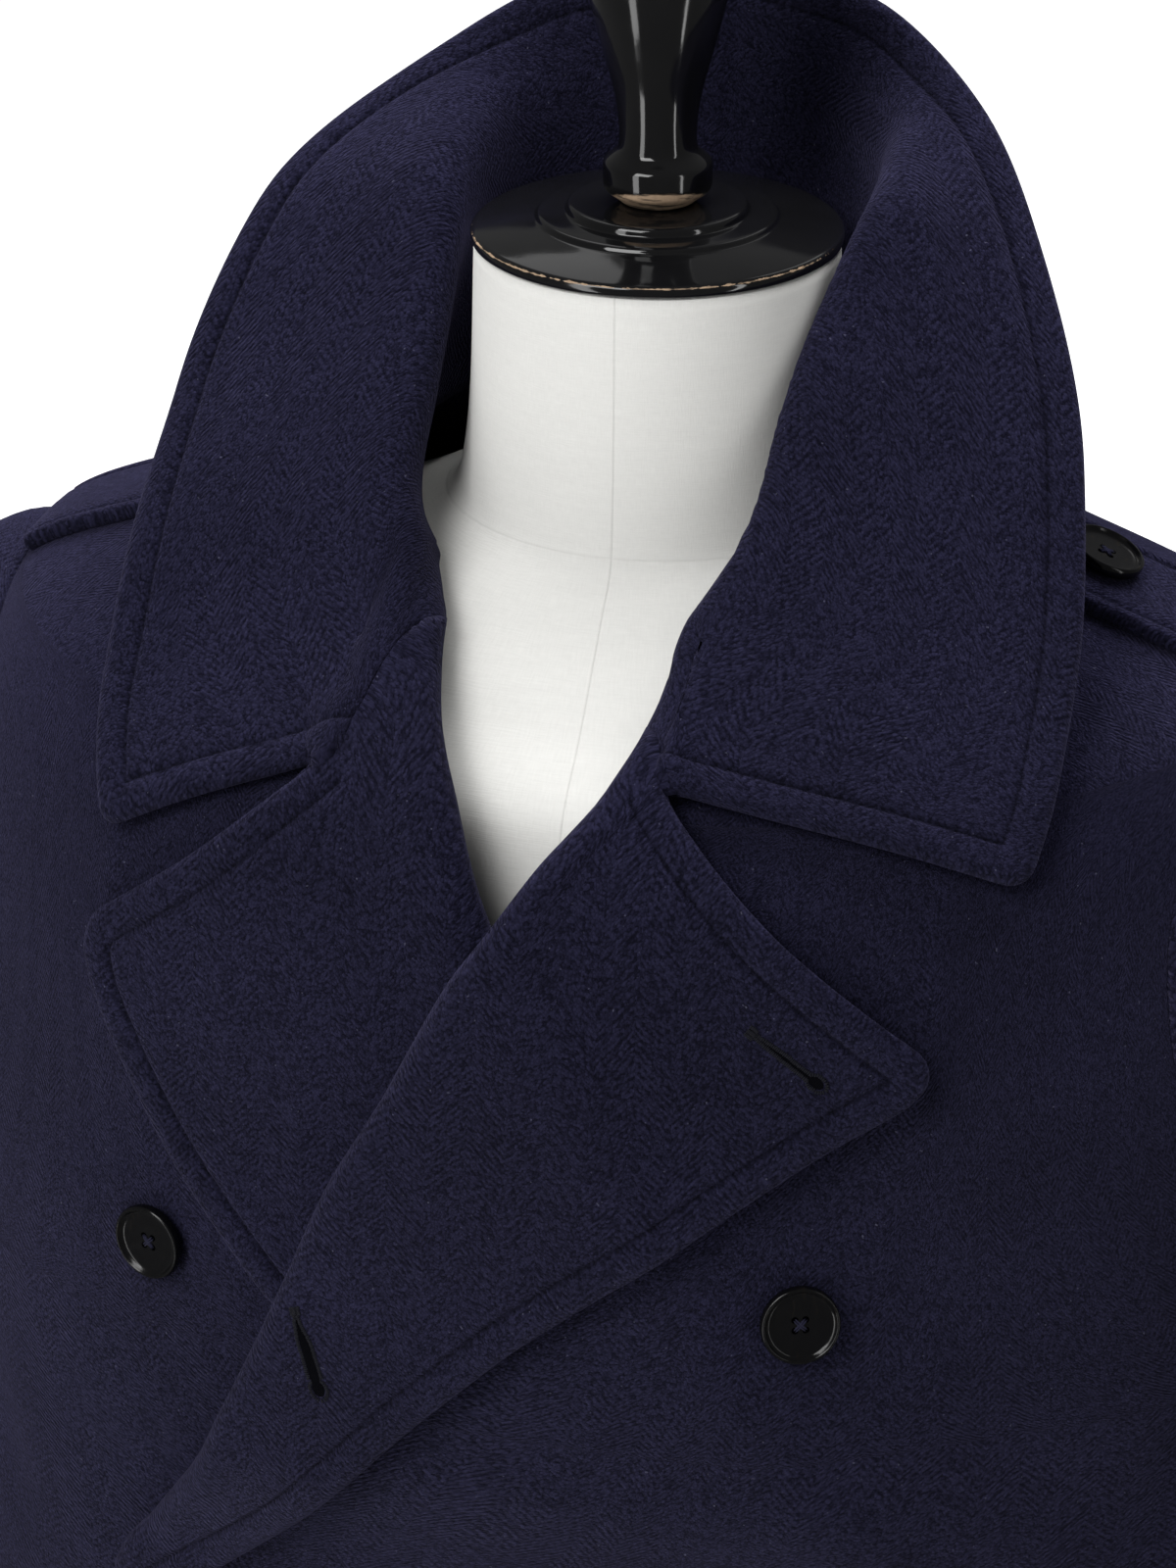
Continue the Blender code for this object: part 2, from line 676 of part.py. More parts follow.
def make_welt(side, material, collection):
    """Slanted pocket welt, sewn flat on the front."""
    top, bottom = Vector(POCKET_TOP), Vector(POCKET_BOTTOM)
    across = Vector((top.y - bottom.y, bottom.x - top.x)).normalized() * POCKET_WIDTH
    height = CLOTH + GAP
    grid = []
    for along in spaced(0, 1, 8):
        edge = blend(bottom, top, along)
        row = [edge + across * part for part in (0, 0.33, 0.66, 1)]
        grid.append([on_front(side, at.x, at.y, height) for at in row])
    return sheet(side_name("pocket_welt", side), ordered(grid, side), CLOTH, material, collection)


# ---------------------------------------------------------------- buttons
def button_mesh():
    """A dished four-hole button with a raised rim, face towards +Z."""
    radius = BUTTON_WIDTH / 2
    inner = radius - BUTTON_RIM
    profile = [
        (0, BUTTON_THICK - BUTTON_DISH - BUTTON_EDGE),
        (inner - BUTTON_DISH, BUTTON_THICK - BUTTON_DISH),
        (inner, BUTTON_THICK - BUTTON_EDGE / 2),
        (radius - BUTTON_RIM / 2, BUTTON_THICK),
        (radius - BUTTON_EDGE, BUTTON_THICK - BUTTON_EDGE),
        (radius, BUTTON_THICK / 2),
        (radius - 3 * BUTTON_EDGE, 0),
        (0, 0),
    ]
    helper = bpy.data.collections.new("cutters")
    bpy.context.scene.collection.children.link(helper)
    plain = finish("blank", (0, 0, 0), 0.5)
    blank = turned("button_blank", profile, BUTTON_SEGMENTS, plain, helper)
    for i in range(HOLES):
        turn = 2 * math.pi * (i + 0.5) / HOLES
        bm = bmesh.new()
        bmesh.ops.create_cone(
            bm,
            cap_ends=True,
            segments=6,
            radius1=HOLE_RADIUS,
            radius2=HOLE_RADIUS,
            depth=4 * BUTTON_THICK,
        )
        mesh = bpy.data.meshes.new("thread_hole")
        bm.to_mesh(mesh)
        bm.free()
        hole = bpy.data.objects.new("thread_hole", mesh)
        hole.location = (HOLE_SPREAD * math.cos(turn), HOLE_SPREAD * math.sin(turn), 0)
        helper.objects.link(hole)
        cut = blank.modifiers.new("thread hole", "BOOLEAN")
        cut.object = hole
        cut.operation = "DIFFERENCE"
    bpy.context.view_layer.update()
    seen = blank.evaluated_get(bpy.context.evaluated_depsgraph_get())
    mesh = bpy.data.meshes.new_from_object(seen)
    for piece in list(helper.objects):
        bpy.data.objects.remove(piece)
    bpy.data.collections.remove(helper)
    mesh.materials.clear()
    return mesh


def make_button(name, mesh, at, normal, top, material, collection):
    """Sewn on at this point, its face out and its holes square to the way up."""
    piece = add_object(name, mesh.copy(), material, collection)
    across = top.cross(normal).normalized()
    along = normal.cross(across)
    turn = Matrix((across, along, normal)).transposed().to_4x4()
    piece.matrix_world = Matrix.Translation(at) @ turn
    return piece


def make_front_buttons(material, collection):
    mesh = button_mesh()
    for side in (LEFT, RIGHT):
        for i, row_z in enumerate(BUTTON_ROWS):
            z = row_z + BUTTON_RISE[side]
            out = BUTTON_OUT[side]
            under = side
            if side == RIGHT and level_at(out, z) < LEFT_BREAK:
                under, out = LEFT, -out
            normal = front_normal(under, out, z)
            at = on_front(under, out, z, CLOTH / 2) + normal * 2 * GAP
            name = f"{side_name('front_button', side)}_{i + 1}"
            make_button(name, mesh, at, normal, UP, material, collection)
        level = STRAP_BUTTON_LEVEL
        at = strap_point(side, level, 0, CLOTH / 2 + FOLDED_CLOTH + 2 * GAP)
        normal = own_side(side, skin_normal(angle_at_y(STRAP_CENTRE, level), level))
        name = side_name("epaulette_button", side)
        make_button(name, mesh, at, normal, Vector((side, 0, 0)), material, collection)


# ---------------------------------------------------------------- the dress form
def make_form(material, collection):
    """Torso and neck in one smooth body, flat at both ends."""
    mesh = bpy.data.meshes.new("form_torso")
    bm = bmesh.new()
    rows = []
    for level in spaced(0, len(FORM) - 1, FORM_ROWS):
        angles = spaced(0, 2 * math.pi, FORM_COLUMNS)[:-1]
        rows.append([bm.verts.new(skin(FORM, angle, level)) for angle in angles])
    for low, high in zip(rows, rows[1:]):
        for j in range(len(low)):
            k = (j + 1) % len(low)
            bm.faces.new((low[j], low[k], high[k], high[j]))
    bm.faces.new(rows[0][::-1])
    bm.faces.new(rows[-1])
    bm.to_mesh(mesh)
    bm.free()
    mesh.shade_smooth()
    return add_object("form_torso", mesh, material, collection)


def make_neck_cap(material, collection):
    """Turned wooden cap: a bevelled flange, and two steps up to the finial."""
    profile = [
        (0, CAP_RISE), (0.0268, CAP_RISE), (0.0281, 0.0090), (0.0288, 0.0080),
        (0.0292, 0.0066), (0.0362, 0.0062), (0.0374, 0.0061), (0.0382, 0.0054),
        (0.0390, 0.0044), (0.0480, 0.0032), (0.0570, 0.0014), (0.0588, 0.0006),
        (0.0592, -0.0004), (0.0590, -0.0016), (0.0582, -0.0028), (0.0575, -0.0030),
        (0, -0.0030),
    ]
    return turned("neck_cap", profile, 40, material, collection, (0, 0, NECK_CAP_HEIGHT))


def make_finial(material, collection):
    """Turned handle: a collared foot, a waist, a swelling body and a button on top."""
    profile = [
        (0, 0.1326), (0.0060, 0.1318), (0.0095, 0.1286), (0.0100, 0.1246),
        (0.0080, 0.1211), (0.0120, 0.1186), (0.0200, 0.1136), (0.0246, 0.1056),
        (0.0260, 0.0940), (0.0248, 0.0810), (0.0226, 0.0690), (0.0198, 0.0575),
        (0.0167, 0.0460), (0.0139, 0.0359), (0.0128, 0.0290), (0.0123, 0.0234),
        (0.0125, 0.0192), (0.0130, 0.0166), (0.0158, 0.0143), (0.0171, 0.0130),
        (0.0174, 0.0116), (0.0174, 0.0060), (0.0171, 0.0044), (0.0158, 0.0032),
        (0.0130, 0.0014), (0.0118, 0), (0, 0),
    ]
    place = (0, 0, NECK_CAP_HEIGHT + CAP_RISE + GAP)
    return turned("finial", profile, 24, material, collection, place)


def make_stand(pole_material, base_material, collection):
    top = FORM_BOTTOM - GAP
    foot = BASE_THICK + GAP
    pole = [
        (0, top), (0.030, top), (0.030, top - 0.012), (POLE_RADIUS, top - 0.016),
        (POLE_RADIUS, foot + 0.060), (0.022, foot + 0.040), (0.034, foot + 0.006),
        (0.034, foot), (0, foot),
    ]
    turned("stand_pole", pole, 24, pole_material, collection)
    base = [
        (0, BASE_THICK), (0.16, BASE_THICK), (BASE_RADIUS - 0.008, BASE_THICK - 0.006),
        (BASE_RADIUS, BASE_THICK - 0.012), (BASE_RADIUS, 0.002), (BASE_RADIUS - 0.002, 0),
        (0, 0),
    ]
    turned("stand_base", base, 48, base_material, collection)


# ---------------------------------------------------------------- all together
def main():
    for old in list(bpy.data.objects):
        bpy.data.objects.remove(old)
    collection = bpy.data.collections.new("pea coat on dress form")
    bpy.context.scene.collection.children.link(collection)

    navy = finish("navy wool", (0.018, 0.020, 0.045), 0.95)
    horn = finish("black horn", (0.012, 0.012, 0.014), 0.22)
    linen = finish("cream linen", (0.80, 0.78, 0.72), 0.85)
    lacquer = finish("black lacquered wood", (0.010, 0.010, 0.011), 0.12)
    steel = finish("black painted steel", (0.02, 0.02, 0.02), 0.4, 0.6)

    for side in (LEFT, RIGHT):
        make_front(side, navy, collection)
        make_back(side, navy, collection)
        make_sleeve(side, navy, collection)
        make_lapel(side, navy, collection)
        make_strap(side, navy, collection)
        make_welt(side, navy, collection)
    make_collar(navy, collection)
    make_front_buttons(horn, collection)
    make_form(linen, collection)
    make_neck_cap(lacquer, collection)
    make_finial(lacquer, collection)
    make_stand(steel, lacquer, collection)


main()
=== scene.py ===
# %% [markdown]
# # A double-breasted pea coat on a dress form
#
# The coat is heavy navy wool in a faint herringbone, with a wide turned-down collar
# and notched lapels. It hangs on a form without limbs, under a turned wooden cap.
# The solid model is loaded first, as a frame to work on. Each soft solid is then
# replaced by a thin shell of cloth that lies in the same place.

# %% Open the frame
import math
import random
from collections import namedtuple
from functools import lru_cache

import bmesh
import bpy
import numpy as np
from mathutils import Matrix, Vector


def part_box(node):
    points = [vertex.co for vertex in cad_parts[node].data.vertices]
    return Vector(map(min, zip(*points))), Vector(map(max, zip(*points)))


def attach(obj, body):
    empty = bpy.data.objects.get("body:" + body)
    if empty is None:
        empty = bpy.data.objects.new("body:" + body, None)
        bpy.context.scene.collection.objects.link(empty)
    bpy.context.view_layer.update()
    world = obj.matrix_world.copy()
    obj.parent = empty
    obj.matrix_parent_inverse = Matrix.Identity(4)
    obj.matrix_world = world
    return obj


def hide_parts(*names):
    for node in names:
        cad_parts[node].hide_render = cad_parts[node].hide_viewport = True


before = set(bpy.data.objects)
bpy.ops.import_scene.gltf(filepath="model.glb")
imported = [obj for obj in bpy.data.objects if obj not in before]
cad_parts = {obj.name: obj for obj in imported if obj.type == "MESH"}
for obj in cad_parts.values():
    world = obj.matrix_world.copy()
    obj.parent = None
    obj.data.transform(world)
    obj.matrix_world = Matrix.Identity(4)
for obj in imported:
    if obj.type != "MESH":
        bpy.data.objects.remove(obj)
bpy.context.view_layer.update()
LEFT, RIGHT = 1, -1  # the wearer's own sides
MM = 0.001
random.seed(7)

# %% [markdown]
# ## Camera
# The coat is seen from above and a little from its left, so that the open collar and
# the cap both show. A long lens keeps the near lapel from looking large.

# %% Place the camera
CAMERA_TURN, CAMERA_DOWN = math.radians(18), math.radians(24)
CAMERA_AWAY = 2.0
LENS = 145.8
CAP_MIDDLE = Vector((0, 0, 1.545))


def look_from(turn, down):
    """Directions forward, to the right and up for a camera turned and tipped like this."""
    forward = Vector((
        -math.sin(turn) * math.cos(down),
        math.cos(turn) * math.cos(down),
        -math.sin(down),
    ))
    right = Vector((math.cos(turn), math.sin(turn), 0))
    return forward, right, right.cross(forward)


forward, right, up = look_from(CAMERA_TURN, CAMERA_DOWN)
aim = CAP_MIDDLE - right * 0.0219 - up * 0.175
lens = bpy.data.cameras.new("camera")
lens.lens = LENS
lens.clip_end = 60
camera = bpy.data.objects.new("camera", lens)
bpy.context.scene.collection.objects.link(camera)
turn = Matrix((right, up, -forward)).transposed().to_4x4()
camera.matrix_world = Matrix.Translation(aim - forward * CAMERA_AWAY) @ turn
bpy.context.scene.camera = camera
print("camera at", [round(x, 3) for x in camera.location])

# %% [markdown]
# ## The lie of the coat
# Every piece of cloth lies on one skin: rings from the hem to the neckline. A place
# on it is an angle round the body and a level up it. These are the sizes the solid
# model was drawn from, so each shell of cloth falls where its solid is.

# %% The rings of the coat and of the form
Ring = namedtuple("Ring", "front_z side_z back_z half_width front back squareness")
COAT = (
    Ring(0.760, 0.760, 0.760, 0.250, 0.164, 0.152, 0.88),
    Ring(0.900, 0.900, 0.900, 0.246, 0.163, 0.148, 0.87),
    Ring(1.080, 1.080, 1.080, 0.233, 0.158, 0.128, 0.86),
    Ring(1.245, 1.245, 1.245, 0.237, 0.167, 0.127, 0.84),
    Ring(1.322, 1.328, 1.326, 0.236, 0.166, 0.129, 0.84),
    Ring(1.375, 1.390, 1.384, 0.227, 0.157, 0.122, 0.85),
    Ring(1.403, 1.418, 1.421, 0.209, 0.139, 0.106, 0.90),
    Ring(1.420, 1.445, 1.450, 0.147, 0.113, 0.088, 0.97),
    Ring(1.436, 1.474, 1.481, 0.080, 0.083, 0.074, 1.00),
)
NECKLINE = len(COAT) - 1
CLOTH, FOLDED_CLOTH, GAP = 3 * MM, 5 * MM, 0.4 * MM
print(len(COAT), "rings, the widest", 2 * max(ring.half_width for ring in COAT), "m across")


# %% Read between the rings
def curve_through(places, values, place):
    """A smooth curve through the values that never overshoots between them."""
    last = len(places) - 1
    place = min(max(place, places[0]), places[last])
    k = 0
    while k < last - 1 and place > places[k + 1]:
        k += 1
    slopes = [(values[i + 1] - values[i]) / (places[i + 1] - places[i]) for i in range(last)]

    def tangent(i):
        if i == 0 or i == last:
            return slopes[min(i, last - 1)]
        before, after = slopes[i - 1], slopes[i]
        if before * after <= 0:
            return 0.0
        return 2 * before * after / (before + after)

    step = places[k + 1] - places[k]
    t = (place - places[k]) / step
    return (
        (2 * t**3 - 3 * t**2 + 1) * values[k]
        + (t**3 - 2 * t**2 + t) * step * tangent(k)
        + (3 * t**2 - 2 * t**3) * values[k + 1]
        + (t**3 - t**2) * step * tangent(k + 1)
    )


def table_at(rows, place, places=None):
    """One row read between the rows of a table."""
    places = places or range(len(rows))
    columns = zip(*rows)
    return type(rows[0])(*(curve_through(places, column, place) for column in columns))


@lru_cache(maxsize=None)
def ring_at(rings, level):
    return table_at(rings, level)


# %% A point of the skin and the way it faces
def signed_power(value, power):
    return math.copysign(abs(value) ** power, value)


def skin(rings, angle, level):
    """Angle 0 is the centre front and a quarter turn is the wearer's left side."""
    ring = ring_at(rings, level)
    s, c = math.sin(angle), math.cos(angle)
    depth = ring.front if c > 0 else ring.back
    middle_z = ring.front_z if c > 0 else ring.back_z
    return Vector((
        ring.half_width * signed_power(s, ring.squareness),
        -depth * signed_power(c, ring.squareness),
        ring.side_z + (middle_z - ring.side_z) * c * c,
    ))


def skin_normal(angle, level):
    near = 0.02  # as an angle and as a part of a level
    low, high = max(level - near, 0), min(level + near, NECKLINE)
    round_body = skin(COAT, angle + near, level) - skin(COAT, angle - near, level)
    up_body = skin(COAT, angle, high) - skin(COAT, angle, low)
    return round_body.cross(up_body).normalized()


def on_coat(angle, level, height=0.0):
    return skin(COAT, angle, level) + skin_normal(angle, level) * height


# %% Find a place on the skin
HALVINGS = 22


def angle_at_out(out, level):
    """The angle where the skin is this far out from the centre front."""
    ring = ring_at(COAT, level)
    s = min(abs(out) / ring.half_width, 1) ** (1 / ring.squareness)
    return math.copysign(math.asin(s), out)


def angle_at_y(y, level):
    ring = ring_at(COAT, level)
    depth = ring.front if y < 0 else ring.back
    c = min(abs(y) / depth, 1) ** (1 / ring.squareness)
    return math.acos(math.copysign(c, -y))


def level_at(out, z):
    """The level where the skin's front, this far out, is this high."""
    low, high = 0.0, float(NECKLINE)
    for _ in range(HALVINGS):
        middle = (low + high) / 2
        if skin(COAT, angle_at_out(out, middle), middle).z < z:
            low = middle
        else:
            high = middle
    return round((low + high) / 2, 5)


# %% Small helpers
def ease(t):
    """Goes from 0 to 1 with a soft start and a soft end."""
    t = min(max(t, 0), 1)
    return t * t * (3 - 2 * t)


def blend(a, b, t):
    return a + (b - a) * t


def own_side(side, point):
    return Vector((point.x * side, point.y, point.z))


def side_name(name, side):
    return f"{name}_{'left' if side == LEFT else 'right'}"


def spaced(first, last, count):
    return [blend(first, last, i / count) for i in range(count + 1)]


print("the skin is", round(2 * ring_at(COAT, 3).half_width, 3), "m wide at the chest")

# %% [markdown]
# ## The roll line and the overlap
# A lapel turns out along its roll line. The wearer's left front lies on top, so it
# rises over the right front's edge, and higher up over the right lapel's roll.

# %% Roll line and heights
OVERLAP_EDGE = -0.135
LAPEL_ROLL, LAPEL_SEAM = 4.5 * MM, 3 * GAP
LAPEL_LIE = {LEFT: 5.6 * MM, RIGHT: 3.4 * MM}
RollPoint = namedtuple("RollPoint", "level left right")
ROLL_LINE = (
    RollPoint(1.60, OVERLAP_EDGE, OVERLAP_EDGE),
    RollPoint(2.20, -0.127, OVERLAP_EDGE),
    RollPoint(2.35, -0.110, -0.125),
    RollPoint(2.60, -0.081, -0.088),
    RollPoint(3.00, -0.055, -0.058),
    RollPoint(3.50, -0.037, -0.036),
    RollPoint(4.00, -0.019, -0.018),
    RollPoint(4.50, -0.003, -0.001),
    RollPoint(5.00, 0.012, 0.012),
    RollPoint(6.00, 0.034, 0.028),
    RollPoint(7.00, 0.041, 0.043),
    RollPoint(8.00, 0.045, 0.053),
)
BREAK = 2.20


def roll_out(side, level):
    """The roll line, and below it the front edge, out from the centre front."""
    levels = [row.level for row in ROLL_LINE]
    outs = [row.left if side == LEFT else row.right for row in ROLL_LINE]
    if level < levels[0]:
        return OVERLAP_EDGE
    return curve_through(levels, outs, level)


# %% How far each front lies off the skin
OVER_FRONT, OVER_LAPEL = CLOTH + 4 * GAP, LAPEL_ROLL * 2 + FOLDED_CLOTH + GAP
FRONT_RISE_FROM, FRONT_RISE_IN = 0.045, 0.035  # the left front rises this near the edge below it
LAPEL_RISE_FROM, LAPEL_RISE_IN = 0.095, 0.080
LAPEL_RISE_LEVEL, LAPEL_RISE_LEVELS = 2.30, 0.35


def front_height(side, out, level):
    """How far a front lies off the skin: the left one passes over all of the right."""
    if side == RIGHT:
        return 0.0
    past_edge = -roll_out(RIGHT, level) - out
    over_front = OVER_FRONT * ease((past_edge + FRONT_RISE_FROM) / FRONT_RISE_IN)
    over_lapel = OVER_LAPEL * ease((past_edge + LAPEL_RISE_FROM) / LAPEL_RISE_IN)
    return over_front + over_lapel * ease((level - LAPEL_RISE_LEVEL) / LAPEL_RISE_LEVELS)


def on_front(side, out, z, height=0.0):
    """A point over the front of this side, at a place and a height off that front."""
    level = level_at(out, z)
    lift = front_height(side, out, level) + height
    return own_side(side, on_coat(angle_at_out(out, level), level, lift))


def front_normal(side, out, z):
    near = 12 * MM
    outwards = on_front(side, out + near, z) - on_front(side, out - near, z)
    upwards = on_front(side, out, z + near) - on_front(side, out, z - near)
    return (outwards.cross(upwards) * side).normalized()


def on_roll_line(side, level):
    out = roll_out(side, level)
    lift = front_height(side, out, level)
    return own_side(side, on_coat(angle_at_out(out, level), level, lift))


print("roll line starts", on_roll_line(LEFT, BREAK))

# %% [markdown]
# ## Cloth with a soft edge
# Wool this heavy never ends in a sharp corner. An edge is two layers turned and
# pressed, so it is round, and a line of stitches 11 mm in draws the layers together:
# the strip outside it swells and the stitches sit in a shallow groove. A modifier
# can't do that, so a grid of points is refined near its edges, measured from them,
# and moved apart into an outer and an inner face that share their rim.

# %% Sizes of an edge and a seam
STITCH_IN = 11.5 * MM
EDGE_ROUND = 3.4 * MM
SEAM_ROUND = 0.5 * MM
FLUSH_ROUND = 9 * MM
SEAM_LIFT = 0.62  # how near the outer face a seam's two edges meet, 1 being flush
print(f"the edge stitching runs {STITCH_IN / MM} mm in, on cloth {CLOTH / MM} mm thick")


# %% A grid of points, spaced evenly
def smooth_line(places, values, at):
    """A smooth curve through rows of numbers, read at many places at once."""
    places, values, at = (np.asarray(x, float) for x in (places, values, at))
    step = np.diff(places)
    slope = np.diff(values, axis=0) / step[:, None]
    lean = np.empty_like(values)
    lean[0], lean[-1] = slope[0], slope[-1]
    before, after = step[:-1, None], step[1:, None]
    lean[1:-1] = (slope[:-1] * after + slope[1:] * before) / (before + after)
    k = np.clip(np.searchsorted(places, at, side="right") - 1, 0, len(step) - 1)
    h = step[k][:, None]
    t = (at - places[k])[:, None] / h
    return (
        (2 * t**3 - 3 * t**2 + 1) * values[k]
        + (t**3 - 2 * t**2 + t) * h * lean[k]
        + (3 * t**2 - 2 * t**3) * values[k + 1]
        + (t**3 - t**2) * h * lean[k + 1]
    )


def lengths_along(line):
    steps = np.linalg.norm(np.diff(line, axis=0), axis=1)
    return np.concatenate([[0], np.cumsum(np.maximum(steps, 1e-7))])


def as_grid(rows):
    return np.array([[tuple(p) for p in row] for row in rows])


def even_grid(grid, step):
    """The same surface with its points about one step apart, both ways."""
    grid = as_grid(grid)
    across = max(2, math.ceil(max(lengths_along(r)[-1] for r in grid) / step))
    rows = []
    for row in grid:
        far = lengths_along(row)
        rows.append(smooth_line(far, row, np.linspace(0, far[-1], across + 1)))
    grid = np.array(rows)
    far = np.mean([lengths_along(grid[:, j]) for j in range(across + 1)], axis=0)
    longest = max(lengths_along(grid[:, j])[-1] for j in (0, across // 2, across))
    at = np.linspace(0, far[-1], max(2, math.ceil(longest / step)) + 1)
    return np.stack([smooth_line(far, grid[:, j], at) for j in range(across + 1)], axis=1)


# %% Distances, round corners and flat sizes
CORNER_SPAN = 40  # rows and columns that a round corner may reach


def distance_to(points, line):
    """From each point to the nearest place on a line of points."""
    best = np.full(len(points), 1e9)
    for a, b in zip(line[:-1], line[1:]):
        way = b - a
        t = np.clip((points - a) @ way / max(way @ way, 1e-12), 0, 1)
        best = np.minimum(best, np.linalg.norm(points - a - t[:, None] * way, axis=1))
    return best


def rounded_corner(grid, radius, corner):
    """Turns one square corner of the grid into a round one of this radius."""
    flip_i, flip_j = corner
    g = grid[::-1] if flip_i else grid
    g = g[:, ::-1] if flip_j else g
    a = np.array([lengths_along(row) for row in g])
    b = np.array([lengths_along(g[:, j]) for j in range(g.shape[1])]).T
    moved = g.copy()
    for i in range(min(CORNER_SPAN, g.shape[0] - 1)):
        for j in range(min(CORNER_SPAN, g.shape[1] - 1)):
            x, y = (radius - a[i, j]) / radius, (radius - b[i, j]) / radius
            if x <= 0 or y <= 0:
                continue
            k = max(x, y) / math.hypot(x, y)
            way_j = g[i, j + 1] - g[i, j]
            way_i = g[i + 1, j] - g[i, j]
            moved[i, j] += way_j / np.linalg.norm(way_j) * x * (1 - k) * radius
            moved[i, j] += way_i / np.linalg.norm(way_i) * y * (1 - k) * radius
    moved = moved[:, ::-1] if flip_j else moved
    return moved[::-1] if flip_i else moved


# %% How an edge swells between its rim and its stitches
PUFF, GROOVE, GROOVE_WIDE = 0.9 * MM, -0.85 * MM, 0.9 * MM
SECOND_PUFF, SECOND_IN, SECOND_WIDE = 0.35 * MM, 4.5 * MM, 3 * MM


def bump_of(off, wide):
    return np.exp(-((off / wide) ** 2))


def swell(far, stitch_in, much=1.0):
    """How far the face lies off the middle of the cloth, by distance from the edge."""
    puff = PUFF * np.sin(np.pi * np.clip(far / stitch_in, 0, 1)) ** 0.8
    groove = GROOVE * bump_of(far - stitch_in, GROOVE_WIDE)
    beyond = SECOND_PUFF * bump_of(far - stitch_in - SECOND_IN, SECOND_WIDE)
    return much * (puff + groove + beyond)


def rim(far, radius):
    """The share of its thickness that the cloth has this far from a round rim."""
    return np.sqrt(np.clip(1 - (1 - np.clip(far / radius, 0, 1)) ** 2, 0, 1))


print(f"an edge swells by up to {swell(STITCH_IN / 2, STITCH_IN) / MM:.2f} mm a side")


# %% Build one piece of cloth
STOP_IN, STOP_NEAR, STOP_FAR = 2.2 * MM, 0.05, 0.04


def cloth_piece(name, grid, thickness, edges=(), seams=(), stitch_in=STITCH_IN, much=1.0,
                round_edge=EDGE_ROUND, tube=False, grain=None, refine=2, stops=(), flush=(),
                facing=1):
    """A closed shell of cloth about a grid of points.

    edges are lines of points along finished edges, seams those along sewn ones. Past
    each of the stops, a point and a direction, the edge's swelling and stitches end.
    Round each flush point the seam is pressed so flat that it no longer shows.
    facing is -1 for a mirrored grid, whose points run the other way round."""
    rows, columns = grid.shape[:2]
    bm = bmesh.new()
    uv = bm.loops.layers.uv.new("cloth")
    layer = bm.verts.layers.float.new("edge")
    verts = [[bm.verts.new(grid[i, j]) for j in range(columns - tube)] for i in range(rows)]
    if grain is None:
        along = np.mean([lengths_along(row) for row in grid], axis=0)
        rise = np.mean([lengths_along(grid[:, j]) for j in range(columns)], axis=0)
        grain = np.stack(np.meshgrid(along, rise), axis=2)
    for i in range(rows - 1):
        for j in range(columns - 1):
            k = (j + 1) % (columns - tube)
            face = bm.faces.new((verts[i][j], verts[i][k], verts[i + 1][k], verts[i + 1][j]))
            corners = ((i, j), (i, j + 1), (i + 1, j + 1), (i + 1, j))
            for loop, (a, b) in zip(face.loops, corners):
                loop[uv].uv = grain[a, b]

    def far_from(lines):
        points = np.array([v.co for v in bm.verts])
        if not lines:
            return np.full(len(points), 1.0)
        return np.min([distance_to(points, line) for line in lines], axis=0)

    def far_from_edges():
        far = far_from(edges)
        points = np.array([v.co for v in bm.verts])
        for at, way in stops:
            past = np.clip((points - at) @ way / STOP_IN, 0, 1)
            near_stop = np.linalg.norm(points - at, axis=1) < STOP_NEAR
            far = far + near_stop * past * past * (3 - 2 * past) * STOP_FAR
        return far

    for step in range(refine):
        bm.verts.index_update()
        edge, seam = far_from_edges(), far_from(seams)
        near = (
            (edge < (5.5 - 2 * step) * MM)
            | (np.abs(edge - stitch_in) < (3.6 - 1.4 * step) * MM)
            | (seam < (2.6 - 1.2 * step) * MM)
        )
        chosen = [e for e in bm.edges if all(near[v.index] for v in e.verts)]
        bmesh.ops.subdivide_edges(bm, edges=chosen, cuts=1, use_grid_fill=True)
    bmesh.ops.triangulate(bm, faces=[f for f in bm.faces if len(f.verts) > 4])
    bm.normal_update()
    bm.verts.index_update()
    edge, seam = far_from_edges(), far_from(seams)
    half = np.full(len(edge), thickness / 2) + (swell(edge, stitch_in, much) if edges else 0)
    half *= rim(edge, round_edge) * rim(seam, SEAM_ROUND)
    rims = {v for e in bm.edges if e.is_boundary for v in e.verts}
    flat_corners = [f for f in bm.faces if all(v in rims for v in f.verts)]
    bmesh.ops.delete(bm, geom=flat_corners, context="FACES_ONLY")
    normals = [v.normal.copy() for v in bm.verts]
    outer = list(bm.verts)
    outer_faces = list(bm.faces)
    inner = {}
    for v in outer:
        if v in rims:
            inner[v] = v
        else:
            inner[v] = bm.verts.new(v.co - normals[v.index] * half[v.index])
    for v in outer:
        if v not in rims:
            v.co += normals[v.index] * half[v.index]
        elif seam[v.index] < SEAM_ROUND:
            away = [(v.co - Vector(at)).length / FLUSH_ROUND for at in flush]
            near = max((ease(2 - far) for far in away), default=0)
            lift = blend(SEAM_LIFT, 1.0, near) * rim(edge[v.index], round_edge)
            v.co += normals[v.index] * thickness / 2 * lift * facing
    for face in outer_faces:
        twin = bm.faces.new([inner[v] for v in reversed(face.verts)])
        for loop, old in zip(twin.loops, reversed(face.loops)):
            loop[uv].uv = old[uv].uv
    for v in outer:
        v[layer] = edge[v.index]
        inner[v][layer] = edge[v.index]
    mesh = bpy.data.meshes.new(name)
    bm.to_mesh(mesh)
    bm.free()
    mesh.shade_smooth()
    piece = bpy.data.objects.new(name, mesh)
    bpy.context.scene.collection.objects.link(piece)
    print(name, "has", len(mesh.polygons), "faces")
    return piece


